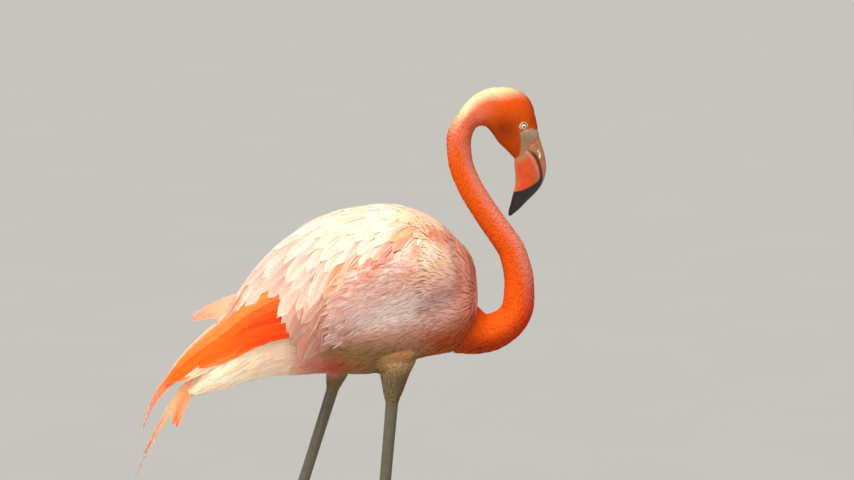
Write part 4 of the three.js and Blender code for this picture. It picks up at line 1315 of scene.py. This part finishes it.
for side, seed in (("right", 31), ("left", 32)):
    way = SIDES[side]
    # The long orange feathers of the wing's end, and the black quills that they hide.
    rng = np.random.default_rng(seed)
    number = np.arange(TERTIALS)
    share = np.interp(number % 3, [0, 1, 2], [0.44, 0.50, 0.56]) + rng.normal(0, 0.012, TERTIALS)
    level = (number + 0.5) / TERTIALS
    roots = np.stack([share, way * (0.05 + 0.85 * level)], 1)
    reach = way_left(back_and_wings, roots, 0.99)
    reach = reach * np.interp(level, [0, 0.25, 0.6, 1], [0.99, 0.98, 0.95, 0.84])
    vanes = lay_vanes(
        back_and_wings, roots, along_the_wing, reach, 13.5, seed, 3.2, lift=-0.6, thick=0.45,
        uneven=1.0, stations=16, ring=RING_8, outline=leaf, vary=0.01, yaw=0.025, curl=0.03,
        ragged=0.06, droop=0.08,
    )
    tips = tertial_tint(vanes["seen"], level, vanes["luck"][:, 0])
    top = layered(TERTIAL_TOP, (TERTIAL_LOW, smooth(level, 0.50, 0.80)),
                  (PALE_PEACH, 0.9 * smooth(level, 0.30, 0.08)))
    coat_piece(f"tertials_{side}", vanes, (top, tips, mixed(tips, PEACH, 0.4)), vane_cloth,
               "wing_feathers", luck=0.18, bloom=0.9, rim=6)
    level = (np.arange(QUILLS) + 0.5) / QUILLS
    roots = np.stack([np.full(QUILLS, 0.42), way * (0.1 + 0.75 * level)], 1)
    vanes = lay_vanes(
        back_and_wings, roots, along_the_wing, 190, 12, seed + 4, 6.5, lift=-3.6, thick=0.5,
        uneven=0.4, stations=14, ring=RING_6, outline=lance, yaw=0.02, curl=0.02, ragged=0.03,
        droop=0.05,
    )
    coat_piece(f"flight_feathers_{side}", vanes, [np.tile(QUILL_BLACK, (QUILLS, 1))] * 3, vane_cloth,
               "wing_feathers")
    # The pale feathers over them, cut short where the orange ones show.
    roots = rows_of_roots(
        back_and_wings, (0.055, 0.66), sorted((0.1 * way, 1.02 * way)),
        ([0, 0.1, 0.3, 0.7], [7, 12, 24, 27]), ([0, 0.1, 0.3, 0.7], [5, 7.5, 11.5, 12]), seed + 8)
    roots = roots[(roots[:, 0] > 0.22) | (np.abs(roots[:, 1]) < 0.8)]
    level = np.abs(roots[:, 1])
    size = np.interp(roots[:, 0], [0, 0.08, 0.2, 0.4, 0.7], [22, 42, 90, 128, 112])
    size = size * np.interp(level, [0, 0.6, 0.85, 1.05], [1, 1, 0.82, 0.5])
    width = np.interp(roots[:, 0], [0, 0.08, 0.25, 0.7], [4.8, 8.4, 15, 15.5])
    tips = lay_vanes(back_and_wings, roots, down_the_wing, size, width, seed + 9, **PALE_SHAPE)["tips"]
    ends = np.interp(np.abs(tips[:, 1]), PALE_LEVELS, PALE_ENDS)
    ends = ends + np.random.default_rng(seed + 10).normal(0, 0.012, len(ends))
    part = (ends - roots[:, 0]) / np.maximum(tips[:, 0] - roots[:, 0], 1e-3)
    part = np.where(tips[:, 0] < roots[:, 0] + 0.01, 1, part)
    hang = (LOWEST_TIP - level) / np.maximum(np.abs(tips[:, 1]) - level, 1e-3)
    part = np.clip(np.minimum(part, np.where(hang > 0, hang, 0)), 0, 1)
    roots, size, width, part = (values[part > SHORTEST_PART] for values in (roots, size, width, part))
    vanes = lay_vanes(back_and_wings, roots, down_the_wing, size * part, width * part**0.35,
                      seed + 9, **PALE_SHAPE)
    base, z = wing_tint(vanes["seen"], vanes["luck"]), vanes["seen"][:, 2] / MM
    pale = (0.4 + 0.6 * smooth(z, 620, 700)) * (0.25 + 0.45 * (vanes["luck"][:, 1] > 0.6))
    deep = mixed(base, CORAL, 0.45 * smooth(z, 790, 740))
    coat_piece(f"coat_wing_{side}", vanes,
               (deep * 0.9, mixed(base, CREAM, 0.15), mixed(base, CREAM, pale)), vane_cloth,
               "wing_feathers", bloom=3)
    # Soft flank feathers over the wing's lower edge.
    roots = rows_of_roots(
        back_and_wings, (0.055, 0.30), sorted((0.58 * way, 1.08 * way)),
        ([0, 0.1, 0.3], [4, 5, 6]), ([0, 0.1, 0.3], [2.4, 2.9, 3.2]), seed + 12)
    upper = 0.60 + 0.5 * roots[:, 0] + np.random.default_rng(seed + 14).normal(0, 0.06, len(roots))
    roots = roots[np.abs(roots[:, 1]) > upper]
    size = np.interp(roots[:, 0], [0, 0.08, 0.3], [18, 38, 62])
    vanes = lay_vanes(
        back_and_wings, roots, along_the_wing, size, size * 0.075, seed + 13, 3, lift=0.9, thick=0.36,
        stations=6, outline=lance, yaw=0.08, curl=0.16, ragged=0.08, droop=0.1,
    )
    base = layered(wing_tint(vanes["seen"], vanes["luck"]), (PINK, 0.5),
                   (colours_by_place(vanes["seen"]), smooth(vanes["seen"][:, 0] / MM, 60, 140)))
    # Painted shade and highlights feather by feather, and the painted highlight below the shoulder.
    base = mixed(light_and_shade_mottled(base, vanes["luck"][:, 1]), PALE_EDGE_AND_HIGHLIGHT, 0.75 * flank_highlight(*in_tables(vanes["seen"])))
    coat_piece(f"coat_flank_{side}", vanes, (base * 0.92, base, mixed(base, PALE_EDGE_AND_HIGHLIGHT, 0.25)), soft_vane,
               "wing_feathers", luck=0.07)
    # A few stray barbs in fine threads over all of them.
    roots = rows_of_roots(back_and_wings, (0.06, 0.42), sorted((0.02 * way, 0.9 * way)),
                          ([0], [22]), ([0], [12]), seed + 16)
    vanes = lay_vanes(
        back_and_wings, roots, down_the_wing, np.interp(roots[:, 0], [0, 0.2], [16, 44]), 0.9,
        seed + 17, 1, lift=1.2, thick=0.25, uneven=0.5, stations=7, outline=lance, yaw=0.14, curl=0.2,
    )
    base = mixed(wing_tint(vanes["seen"], vanes["luck"]), CREAM, 0.4)
    coat_piece(f"barbs_wing_{side}", vanes, (base, base, base), soft_vane, "wing_feathers", luck=0.08)

# ---- Tail and undertail ----
# The short tail feathers hardly show: long soft coverts wrap them from below into a pale lobe that
# starts salmon red under the wing, deepened there with painted shade, and a few loose orange
# feathers droop from its frayed end.

roots = rows_of_roots(trunk_form, (0.56, 0.93), (0, 2 * math.pi), ([0], [9]), ([0], [4.6]), 61)
size = np.interp(roots[:, 0], [0.56, 0.75], [50, 100])
size = np.minimum(size, way_left(trunk_form, roots, 1.0))
vanes = lay_vanes(
    trunk_form, roots, along_the_form(trunk_form), size, np.interp(size, [8, 60], [2.4, 5.4]), 61, 4,
    lift=1.0, thick=0.4, uneven=1.0, stations=9, ring=RING_6, outline=lance, yaw=0.07,
)
base = mixed(colours_by_place(vanes["seen"]), paint(248, 176, 136),
             0.6 * smooth(vanes["luck"][:, 1], 0.55, 1))
coat_piece("coat_undertail", vanes, (mixed(base, PEACH, 0.3), base, mixed(base, CREAM, 0.2)),
           soft_vane, "body_feathers")


def ribbon_form(rows):
    """A flat band along a path of x, y, z rows: the first parameter runs along it, the second, in
    metres, across it, upright."""
    line = rail(rows)

    def at(share, across):
        way = line(share + 1e-3) - line(share - 1e-3)
        arm = unit(np.stack([-way[..., 2], 0 * way[..., 0], way[..., 0]], -1))
        return in_frame(*np.moveaxis(line(share), -1, 0)) + arm * across[..., None]

    return at


# Loose plumes: path, half widths along it, how many vanes, colour at the root and at the tip.
RUSSET = paint(206, 128, 96)
PLUMES = {
    "plume_long_tertial": (
        [[-262, -13, 573], [-283, -9, 554], [-298, -10, 536], [-313, -10, 511], [-325, -10, 479]],
        [4.6, 5.0, 3.2, 1.0, 0.6], 3, ORANGE, RUSSET),
    "plume_primary": (
        [[-186, -40, 600], [-220, -35, 587], [-243, -31, 573], [-262, -29, 561]],
        [5, 6, 5, 1.8], 4, CORAL, PALE_PEACH),
    "plume_raised": (
        [[-176, 27, 668], [-206, 22, 655], [-232, 18, 646], [-253, 15, 637]],
        [7, 10, 11, 5], 5, PALE_PEACH, paint(238, 140, 112)),
    "plume_drooping": (
        [[-222, -2, 560], [-248, -4, 549], [-266, -6, 524], [-277, -6, 490]],
        [6, 7, 8, 7.5], 7, PEACH, ORANGE),
    "plume_streamer": (
        [[-226, -1, 566], [-262, -4, 541], [-286, -6, 507], [-302, -7, 480], [-316, -8, 452],
         [-333, -8, 410]],
        [4, 4, 3, 1.6, 1, 0.6], 3, PEACH, RUSSET),
}
for seed, (name, (path, halves, count, first, last)) in enumerate(PLUMES.items(), 70):
    band = ribbon_form(path)
    aside = np.linspace(-0.6, 0.6, count)
    roots = np.stack([0.02 * np.arange(count), aside * halves[0] * MM], 1)
    reach = way_left(band, roots, 1.0) * (1 - 0.16 * np.abs(aside) * (1 + (-1) ** np.arange(count)))

    def plume_outline(s):
        widths = np.interp(s, np.linspace(0, 1, len(halves)), halves)
        return widths / max(halves) * np.sqrt(np.clip(1 - s**10, 0, 1))

    vanes = lay_vanes(
        band, roots, along_the_form(band), reach, (0.75 if count > 3 else 1.0) * max(halves), seed,
        0.4, thick=0.35, uneven=0.8, stations=18, ring=RING_6, outline=plume_outline, vary=0.01,
        yaw=0.01, curl=0.03, ragged=0.06, droop=0.05,
    )
    base, tips = np.tile(first, (count, 1)), np.tile(last, (count, 1))
    coat_piece(name, vanes, (base, tips, mixed(tips, CREAM, 0.3)), vane_cloth, "wing_feathers")

# ---- Plumage of the thighs ----
# Short soft beige feathers point down the thigh and end in a ragged fringe above the bare shank.


def straight_down(place, share, turn):
    """The lie of the thigh."""
    return np.tile([0.0, 0.0, -1.0], (len(share), 1))


for (side, form), seed in zip(thigh_form.items(), (51, 52)):
    roots = rows_of_roots(form, (0.30, 0.97), (0, 2 * math.pi), ([0], [3.6]), ([0], [2.9]), seed)
    size = np.interp(roots[:, 0], [0, 1], [17, 9])
    vanes = lay_vanes(form, roots, straight_down, size, size * 0.2, seed, 2.4, lift=0.2, thick=0.25,
                      uneven=0.3, stations=5, ragged=0.12)
    base = colours_by_place(vanes["roots"])
    coat_piece(f"coat_thigh_{side}", vanes, (base * 0.92, base, mixed(base, CREAM, 0.2)), soft_vane,
               "body_feathers")
